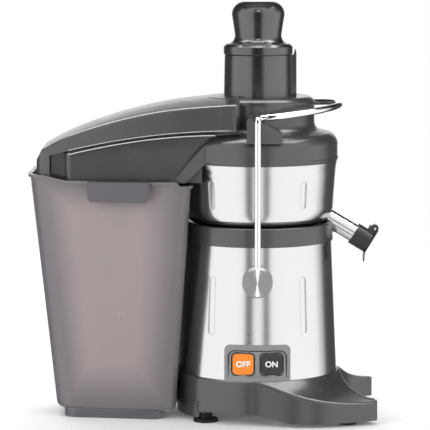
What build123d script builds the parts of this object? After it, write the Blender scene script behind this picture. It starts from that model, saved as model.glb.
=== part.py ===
"""Centrifugal juicer: motor housing, juice bowl, clamped lid with chute and a pulp bin beside it."""
import os
from math import cos, radians, sin, sqrt

from build123d import *

os.makedirs("parts", exist_ok=True)

# Overall reach of the machine from the motor shaft, millimetres
bin_reach = 275.5
toe_reach = 143.5
flap_reach = 146.3
axis_x = (bin_reach - flap_reach) / 2

# Clearances
running_gap = 0.05
hub_gap = 0.03
slide_gap = 0.4
seat_gap = 0.3
press_gap = 0.1

# Base moulding and feet
foot_height = 5.0
seat_height = 54.0
base_radius = 100.0
base_wall = 3.5
deck_thickness = 4.0
flare_width = 109.5
flare_place = 62.0
toe_width = 83.0
toe_height = 28.0
toe_notch_radius = 82.0
toe_notch_front = 99.6
toe_flat_start = 158.0
toe_dip = (120.0, 38.0)
toe_end = 190.0
seat_step = 1.6
base_edge = 4.0
base_edge_length = 100.0
arch_height = 14.0
arch_back = -70.5
arch_peak = 2.0
arch_front = 38.0
foot_rear = (-62.0, 65.0, 15.0)
foot_front = (108.0, 79.0, 10.5)
foot_stem = 8.0
foot_pad = 3.6
cover_height = 15.0
cover_thickness = 2.5
vent_count = 5
vent_length = 50.0
vent_width = 4.0
screw_radius = 2.4
screw_head_radius = 4.2
screw_head = 3.0

# Motor housing, a drawn steel cone
housing_top = 213.7
housing_bottom_radius = 97.0
housing_top_radius = 89.9
housing_wall = 1.2
flange_width = 10.0
groove_angle = 36.0
groove_depth = 1.6
housing_groove_width = 9.0
housing_groove_low = 107.0
housing_groove_high = 177.0

# Switch panel and buttons
panel_width = 78.0
panel_top = 97.3
panel_corner = 7.0
panel_proud = 1.6
panel_depth = 4.0
panel_start = 60.0
inset_margin = 5.0
inset_depth = 1.0
button_size = 25.0
button_corner = 5.6
button_spacing = 34.0
button_height = 74.8
button_proud = 1.6
button_thickness = 8.0
button_travel = 3.0
plunger_pin = 4.0
switch_width = 22.0
switch_depth = 12.0

# Motor
plate_thickness = 4.0
plate_clearance = 1.5
shaft_radius = 8.5
shaft_bottom = 70.0
fan_radius = 62.0
fan_height = 72.0
fan_depth = 13.0
fan_blades = 9
lower_bracket_height = 92.0
upper_bracket_height = 190.0
bracket_depth = 15.0
bracket_radius = 78.0
bearing_radius = 20.0
bearing_depth = 12.0
stator_radius = 67.0
stator_bore = 39.0
stator_bottom = 126.0
stator_top = 171.0
air_gap = 0.6
winding_height = 15.0
bolt_circle = 73.5
bolt_radius = 2.5
capacitor_radius = 15.0
capacitor_length = 60.0
capacitor_place = -55.0

# Seat ring between housing and bowl
ring_top = 236.0
ring_radius = 91.6
ring_wall = 9.0
ring_deck = 5.0
ring_screw_circle = 85.0
ring_screw_length = 13.0

# Juice bowl, spun steel
bowl_floor = 231.0
bowl_corner = 26.0
bowl_waist_radius = 91.9
bowl_waist_height = bowl_floor + bowl_corner
bowl_top = 310.6
bowl_top_radius = 96.6
bowl_wall = 1.0
collar_radius = 21.0
collar_top = 257.0
bowl_groove_width = 8.0
bowl_groove_low = 257.5
bowl_groove_high = 291.0

# Spout with nozzle and drip flap
spout_start = (84.0, 240.0)
spout_angle = 31.0
spout_radius = 11.15
spout_wall = 1.0
spout_root = -8.0
nozzle_start = 38.2
nozzle_length = 21.4
nozzle_radius = 13.55
spout_in_nozzle = 12.0
flap_pin_radius = 1.5
flap_barrel = 4.6
flap_barrel_width = 11.0
flap_lift = 18.6
flap_width = 23.0
flap_thickness = 1.9
flap_drop = 13.0
flap_tail = 11.0
hinge_ear = 2.6
hinge_ear_radius = 2.6
ear_length = 6.0

# Spinning basket and grater
hub_bottom = 250.0
hub_top = 266.0
hub_radius = 30.0
hub_wall = 4.0
basket_floor_radius = 54.0
basket_top_radius = 84.0
basket_top = 305.0
basket_wall = 1.2
basket_rim = 2.2
slot_count = 30
slot_rows = 3
slot_width = 1.8
slot_length = 9.0
grater_radius = 50.0
grater_thickness = 1.6
tooth_height = 2.4
tooth_length = 5.0
tooth_width = 2.6
tooth_turn = 0.35
tooth_rings = ((20.0, 8), (30.0, 12), (40.0, 16))
nut_radius = 11.0
nut_height = 12.0

# Lid moulding
lid_wall = 2.8
lid_bottom = 311.0
lid_skirt_radius = 97.0
lid_bead_radius = 97.7
lid_bead_height = 313.7
lid_side_radius = 96.8
shoulder_start = 327.0
shoulder_middle = (94.9, 337.6)
shoulder_end = (88.0, 344.2)
shoulder_middle_lean = (0.85, 0.53)
shoulder_end_lean = (0.45, 0.89)
drum_radius = 68.5
drum_top = 388.0
drum_round = 8.0
drum_foot = 11.0
drum_foot_height = 346.5
tube_radius = 40.7
tube_foot_radius = 41.6
tube_wall = 3.0
tube_collar = 3.0
tube_top = 438.0
tube_bottom = 282.0
key_reach = 46.3
key_width = 9.0
key_top = 446.0
ear_width = 99.9
ear_back = -13.0
ear_front = 29.0
ear_stop_top = 368.7
ear_ramp_end = 350.0
ear_bottom = 338.0
hood_end = -265.7
hood_front = -21.5
hood_end_width = 56.0
hood_mid = -140.0
hood_mid_width = 77.0
hood_front_width = 90.0
hood_corner = 17.0
hood_front_corner = 7.0
crown_radius = 480.0
crown_reach = 110.0
crown_line = (
    (-290.0, 312.0),
    (-258.0, 330.0),
    (-219.0, 350.0),
    (-175.0, 365.5),
    (-131.0, 377.3),
    (-87.0, 385.0),
    (-43.0, 389.4),
    (5.0, 391.0),
)
bevel_low = 313.0
bevel_run = 9.0
bevel_rise = 17.0
ridge_length = 100.0
ridge_radius = 3.0
chute_bottom = 288.6
chute_back = -231.0
chute_back_width = 60.0
chute_front_width = 74.0
leg_thickness = 17.0
nose_width = 46.0
hood_seam = -40.0
hood_seam_radius = 98.0
ledge_height = 352.0
ledge_middle = -140.0
ledge_middle_height = 343.2
ledge_low = 319.8
cone_top_radius = 98.0
cone_bottom_radius = 114.0
cone_band = 12.0
cone_band_top = 334.0
seal_thickness = 2.4

# Plunger
plunger_bottom = 292.0
plunger_wall = 2.5
flange_radius = 41.9
flange_bottom = 438.3
flange_top = 451.0
knob_neck_radius = 28.4
knob_bulb_radius = 31.5
knob_neck_rise = 12.0
knob_bulb_rise = 20.0
knob_dome_rise = 19.0
knob_flat_radius = 19.0

# Bail clamp
pivot_height = 174.5
arm_radius = 4.0
arm_width = 105.0
arm_inner_width = 94.0
arm_tilt = 6.0
arm_seat_height = 363.2
clamp_knob_radius = 18.0
clamp_knob_face = 112.0
clamp_knob_back = 94.0
stud_radius = 6.0
stud_end = 106.0
bush_radius = 9.5
arm_socket = 9.0

# Pulp bin
bin_right = -79.0
bin_right_bottom = -99.0
bin_left = -273.0
bin_left_bottom = -244.0
bin_right_width = 89.0
bin_left_width = 60.0
bin_right_bottom_width = 66.0
bin_left_bottom_width = 46.0
bin_corner = 24.0
bin_right_corner = 11.0
bin_hug_radius = 101.8
bin_wall = 2.3
bin_floor = 10.0
bin_round = 8.0
bin_lip = 2.5
bin_lip_depth = 3.2
bin_rim = 291.0
bin_rim_left = 297.0
bin_rim_right = 286.4
hug_notch_length = 56.0
hug_notch_width = 78.0
plinth_left = -234.6
plinth_right = -109.6
plinth_left_width = 45.0
plinth_right_width = 60.0
grip_left = -201.0
grip_right = -127.0
grip_drop = 24.0
grip_reach = 12.0
grip_wall = 2.5
grip_root = 4.0
grip_corner = 6.0
rim_rise_start = 17.0
rim_rise_end = 43.0
rim_drop_start = 17.0
rim_drop_end = 13.0
plinth_corner_share = 0.7

# Reach of cutting shapes that pass the whole machine
cut_length = 500.0
cut_width = 400.0
cut_reach = 200.0

# Derived heights and radii
tube_bore = tube_radius - tube_wall
arm_axis_height = arm_seat_height + arm_radius + seat_gap
housing_slope = (housing_bottom_radius - housing_top_radius) / (housing_top - seat_height)
lower_bearing_height = lower_bracket_height + (bracket_depth - bearing_depth) / 2
plate_bottom = housing_top - housing_wall - plate_thickness
shaft_top = hub_top + basket_wall + grater_thickness + nut_height - 2
winding_inner = stator_bore + 3
winding_outer = stator_radius - 6
button_front = housing_bottom_radius - housing_slope * (button_height - seat_height) + button_proud

# Reference planes that stand on the motor shaft
spin_axis = Axis((axis_x, 0, 0), (0, 0, 1))
section = Plane(origin=(axis_x, 0, 0), x_dir=(1, 0, 0), z_dir=(0, -1, 0))


def level(height):
    """Horizontal plane at a height, centred on the shaft."""
    return Plane((axis_x, 0, height))


def front_plane(distance, side=-1):
    """Upright plane in front of the shaft (side -1) or behind it (side 1), facing away from it."""
    return Plane(origin=(axis_x, side * distance, 0), x_dir=(-side, 0, 0), z_dir=(0, side, 0))


def housing_radius(height):
    """Outer radius of the housing cone at a height."""
    return housing_bottom_radius - housing_slope * (height - seat_height)


def wall_plane(radius, height, angle, slope):
    """Plane on a round wall that leans in by slope, at an angle from the front."""
    turn = radians(angle - 90)
    lean = sqrt(1 + slope * slope)
    outward = (cos(turn) / lean, sin(turn) / lean, slope / lean)
    place = (axis_x + radius * cos(turn), radius * sin(turn), height)
    return Plane(origin=place, x_dir=(-sin(turn), cos(turn), 0), z_dir=outward)


def finish(builder, name):
    """Label a finished piece and write it."""
    builder.part.label = name
    export_step(builder.part, f"parts/{name}.step")


def base_outline(inset):
    """Plan of the base: round at the back, flared at the sides, notched between two toes."""
    back = base_radius - inset
    side = flare_width - inset
    toe = toe_width - inset
    tip = toe_reach - inset
    notch = toe_notch_radius + inset
    with BuildSketch(level(0)) as plan:
        with BuildLine():
            near = Spline(
                (-8, -back),
                (flare_place, -side),
                (tip, -toe),
                tangents=[(1, -0.02), (1, 0.75)],
                tangent_scalars=[0.7, 0.5],
            )
            far = Spline(
                (-8, back),
                (flare_place, side),
                (tip, toe),
                tangents=[(1, 0.02), (1, -0.75)],
                tangent_scalars=[0.7, 0.5],
            )
            Line(near @ 1, far @ 1)
            ThreePointArc((-8, -back), (-back, 0), (-8, back))
        make_face()
        with Locations((toe_notch_front + toe_notch_radius, 0)):
            Circle(notch, mode=Mode.SUBTRACT)
    return plan.sketch


def base_top(lower):
    """Body of revolution under the concave top of the base, lowered by an amount."""
    with BuildPart() as body:
        with BuildSketch(section):
            with BuildLine():
                Polyline(
                    (0, seat_height - lower),
                    (0, -10),
                    (toe_end, -10),
                    (toe_end, toe_height - lower),
                    (toe_flat_start, toe_height - lower),
                )
                ThreePointArc(
                    (toe_flat_start, toe_height - lower),
                    (toe_dip[0], toe_dip[1] - lower),
                    (housing_bottom_radius + seat_step, seat_height - lower),
                )
                Line(
                    (housing_bottom_radius + seat_step, seat_height - lower),
                    (0, seat_height - lower),
                )
            make_face()
        revolve(axis=spin_axis)
    return body.part


def is_base_edge(edge):
    """Long upper edge of the base between its side walls and its concave top."""
    lowest = edge.bounding_box().min.Z
    return edge.length > base_edge_length and toe_height - 1 < lowest < seat_height - 0.5


def is_hood_ridge(edge):
    """Long edge between the crown of the hood and its side walls."""
    return edge.length > ridge_length and edge.bounding_box().min.Z > bevel_low + bevel_rise / 2


def feet_places(rear, front):
    """Four foot centres as frame positions with their disc radius."""
    places = []
    for spot in (rear, front):
        for side in (-1, 1):
            places.append((axis_x + spot[0], side * spot[1], spot[2]))
    return places


def boss_bottom(place):
    """Rear feet stand on longer necks because the side wall is arched there."""
    return arch_height - 2 if place[0] < axis_x else foot_height


feet = feet_places(foot_rear, foot_front)
base_hollow_top = toe_height - deck_thickness
cover_screw_spots = [(-80, 0), (30, 70), (30, -70)]

# Base moulding
base_crown = base_top(0)
base_plan = base_outline(0)
base_hollow_plan = base_outline(base_wall)
with BuildPart() as base_housing:
    add(base_plan)
    extrude(amount=seat_height)
    add(base_crown, mode=Mode.INTERSECT)
    fillet(base_housing.edges().filter_by(is_base_edge), radius=base_edge)
    with BuildSketch(level(0)):
        Rectangle(cut_length, cut_width)
    extrude(amount=foot_height, mode=Mode.SUBTRACT)
    extrude(base_hollow_plan, amount=base_hollow_top, mode=Mode.SUBTRACT)
    with BuildSketch(level(base_hollow_top)):
        Circle(housing_bottom_radius - 9)
    extrude(amount=seat_height - deck_thickness - base_hollow_top, mode=Mode.SUBTRACT)
    with BuildSketch(section):
        Polygon(
            (arch_back, 0),
            (arch_back, arch_height),
            (arch_peak, arch_height),
            (arch_front, foot_height),
            (arch_front, 0),
            align=None,
        )
    extrude(amount=cut_reach, both=True, mode=Mode.SUBTRACT)
    for place in feet:
        with BuildSketch(Plane((place[0], place[1], boss_bottom(place)))):
            Circle(foot_stem + 3)
        extrude(amount=base_hollow_top - boss_bottom(place) + 1)
    for spot in cover_screw_spots:
        with BuildSketch(Plane((axis_x + spot[0], spot[1], cover_height + cover_thickness))):
            Circle(screw_head_radius + 1.5)
        extrude(until=Until.NEXT)
    for place in feet:
        with BuildSketch(Plane((place[0], place[1], 0))):
            Circle(foot_stem / 2 + press_gap)
        extrude(amount=base_hollow_top - 2, mode=Mode.SUBTRACT)
    for spot in cover_screw_spots:
        with BuildSketch(Plane((axis_x + spot[0], spot[1], 0))):
            Circle(screw_radius + press_gap)
        extrude(amount=cover_height + cover_thickness + 8, mode=Mode.SUBTRACT)
    with BuildSketch(level(seat_height - deck_thickness - 1)):
        Circle(fan_radius - 8)
    extrude(amount=deck_thickness + 2, mode=Mode.SUBTRACT)
finish(base_housing, "base_housing")

# Rubber feet
with BuildPart() as rubber_feet:
    for place in feet:
        with BuildSketch(Plane((place[0], place[1], 0))):
            Circle(place[2])
        extrude(amount=foot_pad, taper=-8 if place[0] > axis_x else 8)
        with BuildSketch(Plane((place[0], place[1], foot_pad))):
            Circle(foot_stem)
        extrude(amount=boss_bottom(place) - foot_pad)
        with BuildSketch(Plane((place[0], place[1], boss_bottom(place)))):
            Circle(foot_stem / 2)
        extrude(amount=8)
finish(rubber_feet, "rubber_feet")

# Bottom cover with air vents
cover_plan = base_outline(base_wall + seat_gap)
with BuildPart() as base_cover:
    extrude(cover_plan, amount=cover_height + cover_thickness)
    with BuildSketch(level(0)):
        Rectangle(cut_length, cut_width)
    extrude(amount=cover_height, mode=Mode.SUBTRACT)
    for place in feet:
        with BuildSketch(Plane((place[0], place[1], cover_height - 1))):
            Circle(foot_stem + 3 + seat_gap)
        extrude(amount=cover_thickness + 2, mode=Mode.SUBTRACT)
    with BuildSketch(level(cover_height - 1)):
        with Locations(*cover_screw_spots):
            Circle(screw_radius + press_gap)
        with GridLocations(vent_width * 2.5, 0, vent_count, 1):
            SlotOverall(vent_length, vent_width, rotation=90)
    extrude(amount=cover_thickness + 2, mode=Mode.SUBTRACT)
finish(base_cover, "base_cover")

# Cover screws
with BuildPart() as cover_screws:
    for spot in cover_screw_spots:
        with BuildSketch(Plane((axis_x + spot[0], spot[1], cover_height - screw_head))):
            Circle(screw_head_radius)
        extrude(amount=screw_head)
        with BuildSketch(Plane((axis_x + spot[0], spot[1], cover_height))):
            Circle(screw_radius)
        extrude(amount=cover_thickness + 6)
finish(cover_screws, "cover_screws")


def groove_tool(radius, slope, low, high, width, angle, grow, inner, outer):
    """Vertical pressed groove: a capsule seen square to the wall."""
    middle = (low + high) / 2
    with BuildPart() as tool:
        with BuildSketch(wall_plane(radius, middle, angle, slope).offset(inner)):
            SlotOverall(high - low + 2 * grow, width + 2 * grow, rotation=90)
        extrude(amount=outer - inner)
    return tool.part


groove_angles = (-groove_angle, groove_angle, 180 - groove_angle, 180 + groove_angle)
panel_middle = (seat_height + panel_top) / 2

# Motor housing
with BuildPart() as motor_housing:
    with BuildSketch(section):
        with BuildLine():
            Polyline(
                (housing_bottom_radius, seat_height),
                (housing_top_radius, housing_top),
                (housing_top_radius - flange_width, housing_top),
                (housing_top_radius - flange_width, housing_top - housing_wall),
                (housing_top_radius - housing_wall, housing_top - housing_wall),
                (housing_bottom_radius - housing_wall, seat_height),
                close=True,
            )
        make_face()
    revolve(axis=spin_axis)
    for angle in groove_angles:
        radius = housing_radius((housing_groove_low + housing_groove_high) / 2)
        add(
            groove_tool(
                radius, housing_slope, housing_groove_low, housing_groove_high,
                housing_groove_width, angle, housing_wall, -groove_depth - housing_wall, -0.3,
            )
        )
    for angle in groove_angles:
        radius = housing_radius((housing_groove_low + housing_groove_high) / 2)
        add(
            groove_tool(
                radius, housing_slope, housing_groove_low, housing_groove_high,
                housing_groove_width, angle, 0, -groove_depth, 4,
            ),
            mode=Mode.SUBTRACT,
        )
    with BuildSketch(front_plane(panel_start)):
        with Locations((0, panel_middle)):
            Rectangle(panel_width, panel_top - seat_height)
        fillet(
            [v for v in vertices() if v.Y > panel_middle], radius=panel_corner
        )
    extrude(amount=60, mode=Mode.SUBTRACT)
    for side in (-1, 1):
        with BuildSketch(front_plane(60, side)):
            with Locations((0, pivot_height)):
                Circle(bush_radius)
        extrude(amount=60, mode=Mode.SUBTRACT)
    with BuildSketch(front_plane(60, 1)):
        with Locations((0, button_height)):
            Circle(8)
    extrude(amount=60, mode=Mode.SUBTRACT)
    with BuildSketch(level(housing_top - housing_wall - 1)):
        with PolarLocations(ring_screw_circle, 4, start_angle=45):
            Circle(screw_radius + press_gap)
    extrude(amount=housing_wall + 2, mode=Mode.SUBTRACT)
finish(motor_housing, "motor_housing")

# Cord gland, the inlet at the back
gland_out = housing_radius(button_height)
with BuildPart() as cord_gland:
    with BuildSketch(front_plane(gland_out - 8, 1)):
        with Locations((0, button_height)):
            Circle(8 - press_gap)
    extrude(amount=9)
    with BuildSketch(front_plane(gland_out + 0.7, 1)):
        with Locations((0, button_height)):
            Circle(11.5)
    extrude(amount=6, taper=12)
    with BuildSketch(front_plane(gland_out - 9, 1)):
        with Locations((0, button_height)):
            Circle(4)
    extrude(amount=30, mode=Mode.SUBTRACT)
finish(cord_gland, "cord_gland")

# Switch panel that follows the housing wall
with BuildPart() as switch_panel:
    with BuildSketch(front_plane(panel_start)):
        with Locations((0, panel_middle)):
            Rectangle(panel_width - 2 * press_gap, panel_top - seat_height - 2 * press_gap)
        fillet([v for v in vertices() if v.Y > panel_middle], radius=panel_corner)
    extrude(amount=60)
    with BuildSketch(section):
        Polygon(
            (housing_radius(seat_height) - panel_depth, seat_height),
            (housing_radius(seat_height) + panel_proud, seat_height),
            (housing_radius(panel_top) + panel_proud, panel_top),
            (housing_radius(panel_top) - panel_depth, panel_top),
            align=None,
        )
    revolve(axis=spin_axis, mode=Mode.INTERSECT)
    fillet(
        switch_panel.edges().filter_by(lambda e: e.center().Y < -housing_radius(panel_top) * 0.9
                                       and e.center().Z > panel_top - 1), radius=1.0
    )
    with BuildSketch(front_plane(button_front - button_proud - inset_depth + panel_proud)):
        with Locations((0, button_height)):
            Rectangle(panel_width - 2 * inset_margin - 4, button_size + 6)
        fillet([v for v in vertices() if v.Y > button_height], radius=panel_corner)
    extrude(amount=10, mode=Mode.SUBTRACT)
    with BuildSketch(front_plane(panel_start)):
        with Locations((-button_spacing / 2, button_height), (button_spacing / 2, button_height)):
            RectangleRounded(
                button_size + 2 * slide_gap, button_size + 2 * slide_gap, button_corner + slide_gap
            )
    extrude(amount=60, mode=Mode.SUBTRACT)
finish(switch_panel, "switch_panel")

# Buttons
for name, place in (("off_button", -button_spacing / 2), ("on_button", button_spacing / 2)):
    with BuildPart() as button:
        with BuildSketch(front_plane(button_front - button_thickness)):
            with Locations((place, button_height)):
                RectangleRounded(button_size, button_size, button_corner)
        extrude(amount=button_thickness)
        fillet(button.faces().sort_by(Axis.Y)[0].edges(), radius=1.2)
        with BuildSketch(front_plane(button_front - button_thickness - 10)):
            with Locations((place, button_height)):
                Circle(plunger_pin)
        extrude(amount=10.5)
    finish(button, name)

# Switch blocks behind the buttons, hung from the panel by side legs
switch_front = button_front - button_thickness - button_travel - 1.5
leg_end = sqrt((housing_radius(panel_top) - panel_depth) ** 2 - (panel_width / 2 - 3.5) ** 2)
with BuildPart() as switch_blocks:
    for place in (-button_spacing / 2, button_spacing / 2):
        with BuildSketch(front_plane(switch_front - switch_depth)):
            with Locations((place, button_height)):
                Rectangle(switch_width, switch_width)
        extrude(amount=switch_depth)
        with BuildSketch(front_plane(switch_front - button_travel - 10)):
            with Locations((place, button_height)):
                Circle(plunger_pin + slide_gap)
        extrude(amount=20, mode=Mode.SUBTRACT)
    with BuildSketch(front_plane(switch_front - switch_depth - 3)):
        with Locations((0, button_height)):
            Rectangle(panel_width - 8, switch_width)
    extrude(amount=3)
    for side in (-1, 1):
        with BuildSketch(front_plane(switch_front - switch_depth - 3)):
            with Locations((side * (panel_width - 10) / 2, button_height)):
                Rectangle(2.5, switch_width)
        extrude(amount=leg_end - press_gap - switch_front + switch_depth + 3)
finish(switch_blocks, "switch_blocks")


def disc(radius, low, high, bore=0.0):
    """Plain round plate on the motor shaft."""
    with BuildPart() as plate:
        with BuildSketch(level(low)):
            Circle(radius)
            if bore > 0:
                Circle(bore, mode=Mode.SUBTRACT)
        extrude(amount=high - low)
    return plate.part


def bolt_ring(count, circle, radius, low, high, start=45.0):
    """Round bars or holes on a circle around the shaft."""
    with BuildPart() as bars:
        with BuildSketch(level(low)):
            with PolarLocations(circle, count, start_angle=start):
                Circle(radius)
        extrude(amount=high - low)
    return bars.part


# Motor plate that closes the housing
upper_bearing_height = upper_bracket_height + 1.5
with BuildPart() as motor_plate:
    add(disc(housing_top_radius - plate_clearance - housing_wall, plate_bottom,
             plate_bottom + plate_thickness, shaft_radius + 6))
    add(bolt_ring(4, ring_screw_circle, screw_radius + press_gap, plate_bottom - 1,
                  housing_top), mode=Mode.SUBTRACT)
    add(bolt_ring(4, bolt_circle, bolt_radius + press_gap, plate_bottom - 1,
                  housing_top, 0), mode=Mode.SUBTRACT)
finish(motor_plate, "motor_plate")


def motor_bracket(height, name):
    """Cast end bracket with a bearing seat, four windows and four bolt holes."""
    with BuildPart() as bracket:
        add(disc(bracket_radius, height, height + bracket_depth))
        with BuildSketch(level(height + bracket_depth - 10)):
            with PolarLocations(46, 4):
                Circle(12)
        extrude(amount=20, mode=Mode.SUBTRACT)
        add(disc(bearing_radius + press_gap, height + (bracket_depth - bearing_depth) / 2,
                 height + bracket_depth + 1), mode=Mode.SUBTRACT)
        add(disc(shaft_radius + 3, height - 1, height + bracket_depth), mode=Mode.SUBTRACT)
        add(bolt_ring(4, bolt_circle, bolt_radius + press_gap, height - 1,
                      height + bracket_depth + 1, 0), mode=Mode.SUBTRACT)
    finish(bracket, name)


motor_bracket(lower_bracket_height, "lower_bracket")
with BuildPart() as upper_bracket:
    add(disc(bracket_radius, upper_bracket_height, plate_bottom))
    add(disc(bearing_radius + press_gap, upper_bracket_height - 1,
             upper_bearing_height + bearing_depth), mode=Mode.SUBTRACT)
    add(disc(shaft_radius + 3, upper_bracket_height, plate_bottom + 1), mode=Mode.SUBTRACT)
    add(bolt_ring(4, bolt_circle, bolt_radius + press_gap, upper_bracket_height - 1,
                  plate_bottom + 1, 0), mode=Mode.SUBTRACT)
finish(upper_bracket, "upper_bracket")

# Bearings
for name, height in (("lower_bearing", lower_bearing_height),
                     ("upper_bearing", upper_bearing_height)):
    with BuildPart() as bearing:
        add(disc(bearing_radius, height, height + bearing_depth, shaft_radius + hub_gap))
        add(disc(bearing_radius - 3, height + bearing_depth - 0.8, height + bearing_depth + 1,
                 shaft_radius + 3), mode=Mode.SUBTRACT)
    finish(bearing, name)

# Stator core and windings
with BuildPart() as stator_core:
    add(disc(stator_radius, stator_bottom, stator_top, stator_bore))
    with BuildSketch(level(stator_bottom)):
        with PolarLocations((winding_inner + winding_outer) / 2, 12):
            SlotOverall(14, 6)
    extrude(amount=stator_top - stator_bottom, mode=Mode.SUBTRACT)
finish(stator_core, "stator_core")
with BuildPart() as windings:
    for height in (stator_bottom - winding_height, stator_top):
        add(disc(winding_outer, height, height + winding_height, winding_inner))
    fillet(windings.edges().filter_by(GeomType.CIRCLE), radius=3)
finish(windings, "windings")

# Long bolts that hold the two brackets to the plate, with spacer tubes around them
with BuildPart() as motor_bolts:
    add(bolt_ring(4, bolt_circle, bolt_radius, lower_bracket_height,
                  plate_bottom + plate_thickness, 0))
    add(bolt_ring(4, bolt_circle, bolt_radius + 2, lower_bracket_height - 4,
                  lower_bracket_height, 0))
    add(bolt_ring(4, bolt_circle, bolt_radius + 1.8, lower_bracket_height + bracket_depth,
                  upper_bracket_height, 0))
finish(motor_bolts, "motor_bolts")

# Stator cradle between the stator and the lower bracket
with BuildPart() as stator_sleeve:
    add(disc(stator_radius + 1.6, lower_bracket_height + bracket_depth, stator_top,
             stator_radius))
finish(stator_sleeve, "stator_sleeve")

# Run capacitor, lying on the bottom cover
with BuildPart() as capacitor:
    with BuildSketch(front_plane(-capacitor_length / 2)):
        with Locations((capacitor_place, cover_height + cover_thickness + capacitor_radius)):
            Circle(capacitor_radius)
    extrude(amount=capacitor_length)
    fillet(capacitor.edges().filter_by(GeomType.CIRCLE), radius=2)
finish(capacitor, "capacitor")

# Shaft with rotor, fan and hub
with BuildPart() as motor_shaft:
    add(disc(shaft_radius, shaft_bottom, shaft_top))
    add(disc(shaft_radius + 2.5, lower_bearing_height + bearing_depth + 0.3,
             upper_bearing_height - 0.3))
    chamfer(motor_shaft.edges().group_by(Axis.Z)[-1], length=1)
finish(motor_shaft, "motor_shaft")
with BuildPart() as rotor:
    add(disc(stator_bore - air_gap, stator_bottom - 4, stator_top + 4, shaft_radius + 2.5))
    chamfer(rotor.edges().filter_by(GeomType.CIRCLE), length=1)
finish(rotor, "rotor")
with BuildPart() as cooling_fan:
    add(disc(fan_radius, fan_height, fan_height + 2))
    for turn in range(fan_blades):
        angle = radians(turn * 360 / fan_blades)
        blade = Plane(origin=(axis_x + 38 * cos(angle), 38 * sin(angle), fan_height),
                      x_dir=(cos(angle + 0.5), sin(angle + 0.5), 0), z_dir=(0, 0, 1))
        with BuildSketch(blade):
            Rectangle(38, 2)
        extrude(amount=fan_depth)
    add(disc(16, fan_height, fan_height + fan_depth))
    add(disc(shaft_radius, fan_height - 1, fan_height + fan_depth + 1), mode=Mode.SUBTRACT)
finish(cooling_fan, "cooling_fan")

# Shaft seal in the motor plate
with BuildPart() as shaft_seal:
    add(disc(shaft_radius + 6 - press_gap, plate_bottom, ring_top - ring_deck - 8,
             shaft_radius + seat_gap))
    add(disc(shaft_radius + 9, plate_bottom + plate_thickness, plate_bottom + plate_thickness + 3,
             shaft_radius + seat_gap))
finish(shaft_seal, "shaft_seal")

# Seat ring
ring_floor = bowl_floor - ring_deck
bowl_center_radius = bowl_waist_radius - bowl_corner
notch_width = 2 * (spout_radius + 0.6)
with BuildPart() as seat_ring:
    with BuildSketch(section):
        Polygon(
            (ring_radius, housing_top),
            (ring_radius, ring_top),
            (bowl_waist_radius - 7, ring_top),
            (bowl_waist_radius - 16, bowl_floor),
            (collar_radius + 10, bowl_floor),
            (collar_radius + 10, ring_floor),
            (ring_radius - ring_wall, ring_floor),
            (ring_radius - ring_wall, housing_top),
            align=None,
        )
    revolve(axis=spin_axis)
    chamfer(seat_ring.edges().filter_by(GeomType.CIRCLE).group_by(Axis.Z)[-1].sort_by(
        lambda e: e.radius)[-1], length=0.8)
    add(bolt_ring(4, ring_screw_circle, screw_radius + press_gap, housing_top - 1,
                  housing_top + ring_screw_length), mode=Mode.SUBTRACT)
spout_plane = Plane(
    origin=(axis_x + spout_start[0], 0, spout_start[1]),
    x_dir=(0, 1, 0),
    z_dir=(cos(radians(spout_angle)), 0, -sin(radians(spout_angle))),
)
with BuildPart() as seat_ring_notched:
    add(seat_ring.part)
    with BuildSketch(spout_plane.offset(spout_root)):
        Circle(notch_width / 2)
        with Locations((0, 15)):
            Rectangle(notch_width, 30)
    extrude(amount=nozzle_start, mode=Mode.SUBTRACT)
finish(seat_ring_notched, "seat_ring")

# Screws from the motor plate up into the ring
with BuildPart() as ring_screws:
    add(bolt_ring(4, ring_screw_circle, screw_radius, plate_bottom,
                  housing_top + ring_screw_length - 1))
    add(bolt_ring(4, ring_screw_circle - 1.5, screw_head_radius - 1, plate_bottom - screw_head,
                  plate_bottom))
finish(ring_screws, "ring_screws")


bowl_wall_height = bowl_top - bowl_waist_height


def bowl_points(inset):
    """Half section of the bowl wall from floor to rim as radius and height, moved in by inset."""
    corner_radius = bowl_corner - inset
    corner_height = bowl_floor + inset + corner_radius
    return [
        (bowl_center_radius, bowl_floor + inset),
        (
            bowl_center_radius + corner_radius * sin(radians(45)),
            corner_height - corner_radius * cos(radians(45)),
        ),
        (bowl_waist_radius - inset, bowl_waist_height),
        (bowl_waist_radius + 1.6 - inset, bowl_waist_height + 0.45 * bowl_wall_height),
        (bowl_waist_radius + 3.0 - inset, bowl_waist_height + 0.8 * bowl_wall_height),
        (bowl_top_radius - inset, bowl_top),
    ]


bowl_outer = bowl_points(0)
bowl_inner = bowl_points(bowl_wall)
bowl_slope = -0.065
bowl_groove_radius = bowl_waist_radius + 1.1

# Juice bowl
with BuildPart() as juice_bowl:
    with BuildSketch(section):
        with BuildLine():
            for skin in (bowl_outer, bowl_inner):
                ThreePointArc(*skin[0:3])
                ThreePointArc(*skin[2:5])
                Line(skin[4], skin[5])
            Line(bowl_outer[5], bowl_inner[5])
            Polyline(
                bowl_outer[0],
                (collar_radius, bowl_floor),
                (collar_radius, collar_top),
                (collar_radius + bowl_wall, collar_top),
                (collar_radius + bowl_wall, bowl_floor + bowl_wall),
                bowl_inner[0],
            )
        make_face()
    revolve(axis=spin_axis)
    for angle in groove_angles:
        add(groove_tool(bowl_groove_radius, bowl_slope, bowl_groove_low, bowl_groove_high,
                        bowl_groove_width, angle, bowl_wall, -groove_depth - bowl_wall, -0.5))
    for angle in groove_angles:
        add(groove_tool(bowl_groove_radius, bowl_slope, bowl_groove_low, bowl_groove_high,
                        bowl_groove_width, angle, 0, -groove_depth, 4), mode=Mode.SUBTRACT)
    with BuildSketch(spout_plane.offset(spout_root + 1)):
        Circle(spout_radius)
    extrude(amount=nozzle_start, mode=Mode.SUBTRACT)
finish(juice_bowl, "juice_bowl")

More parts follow.
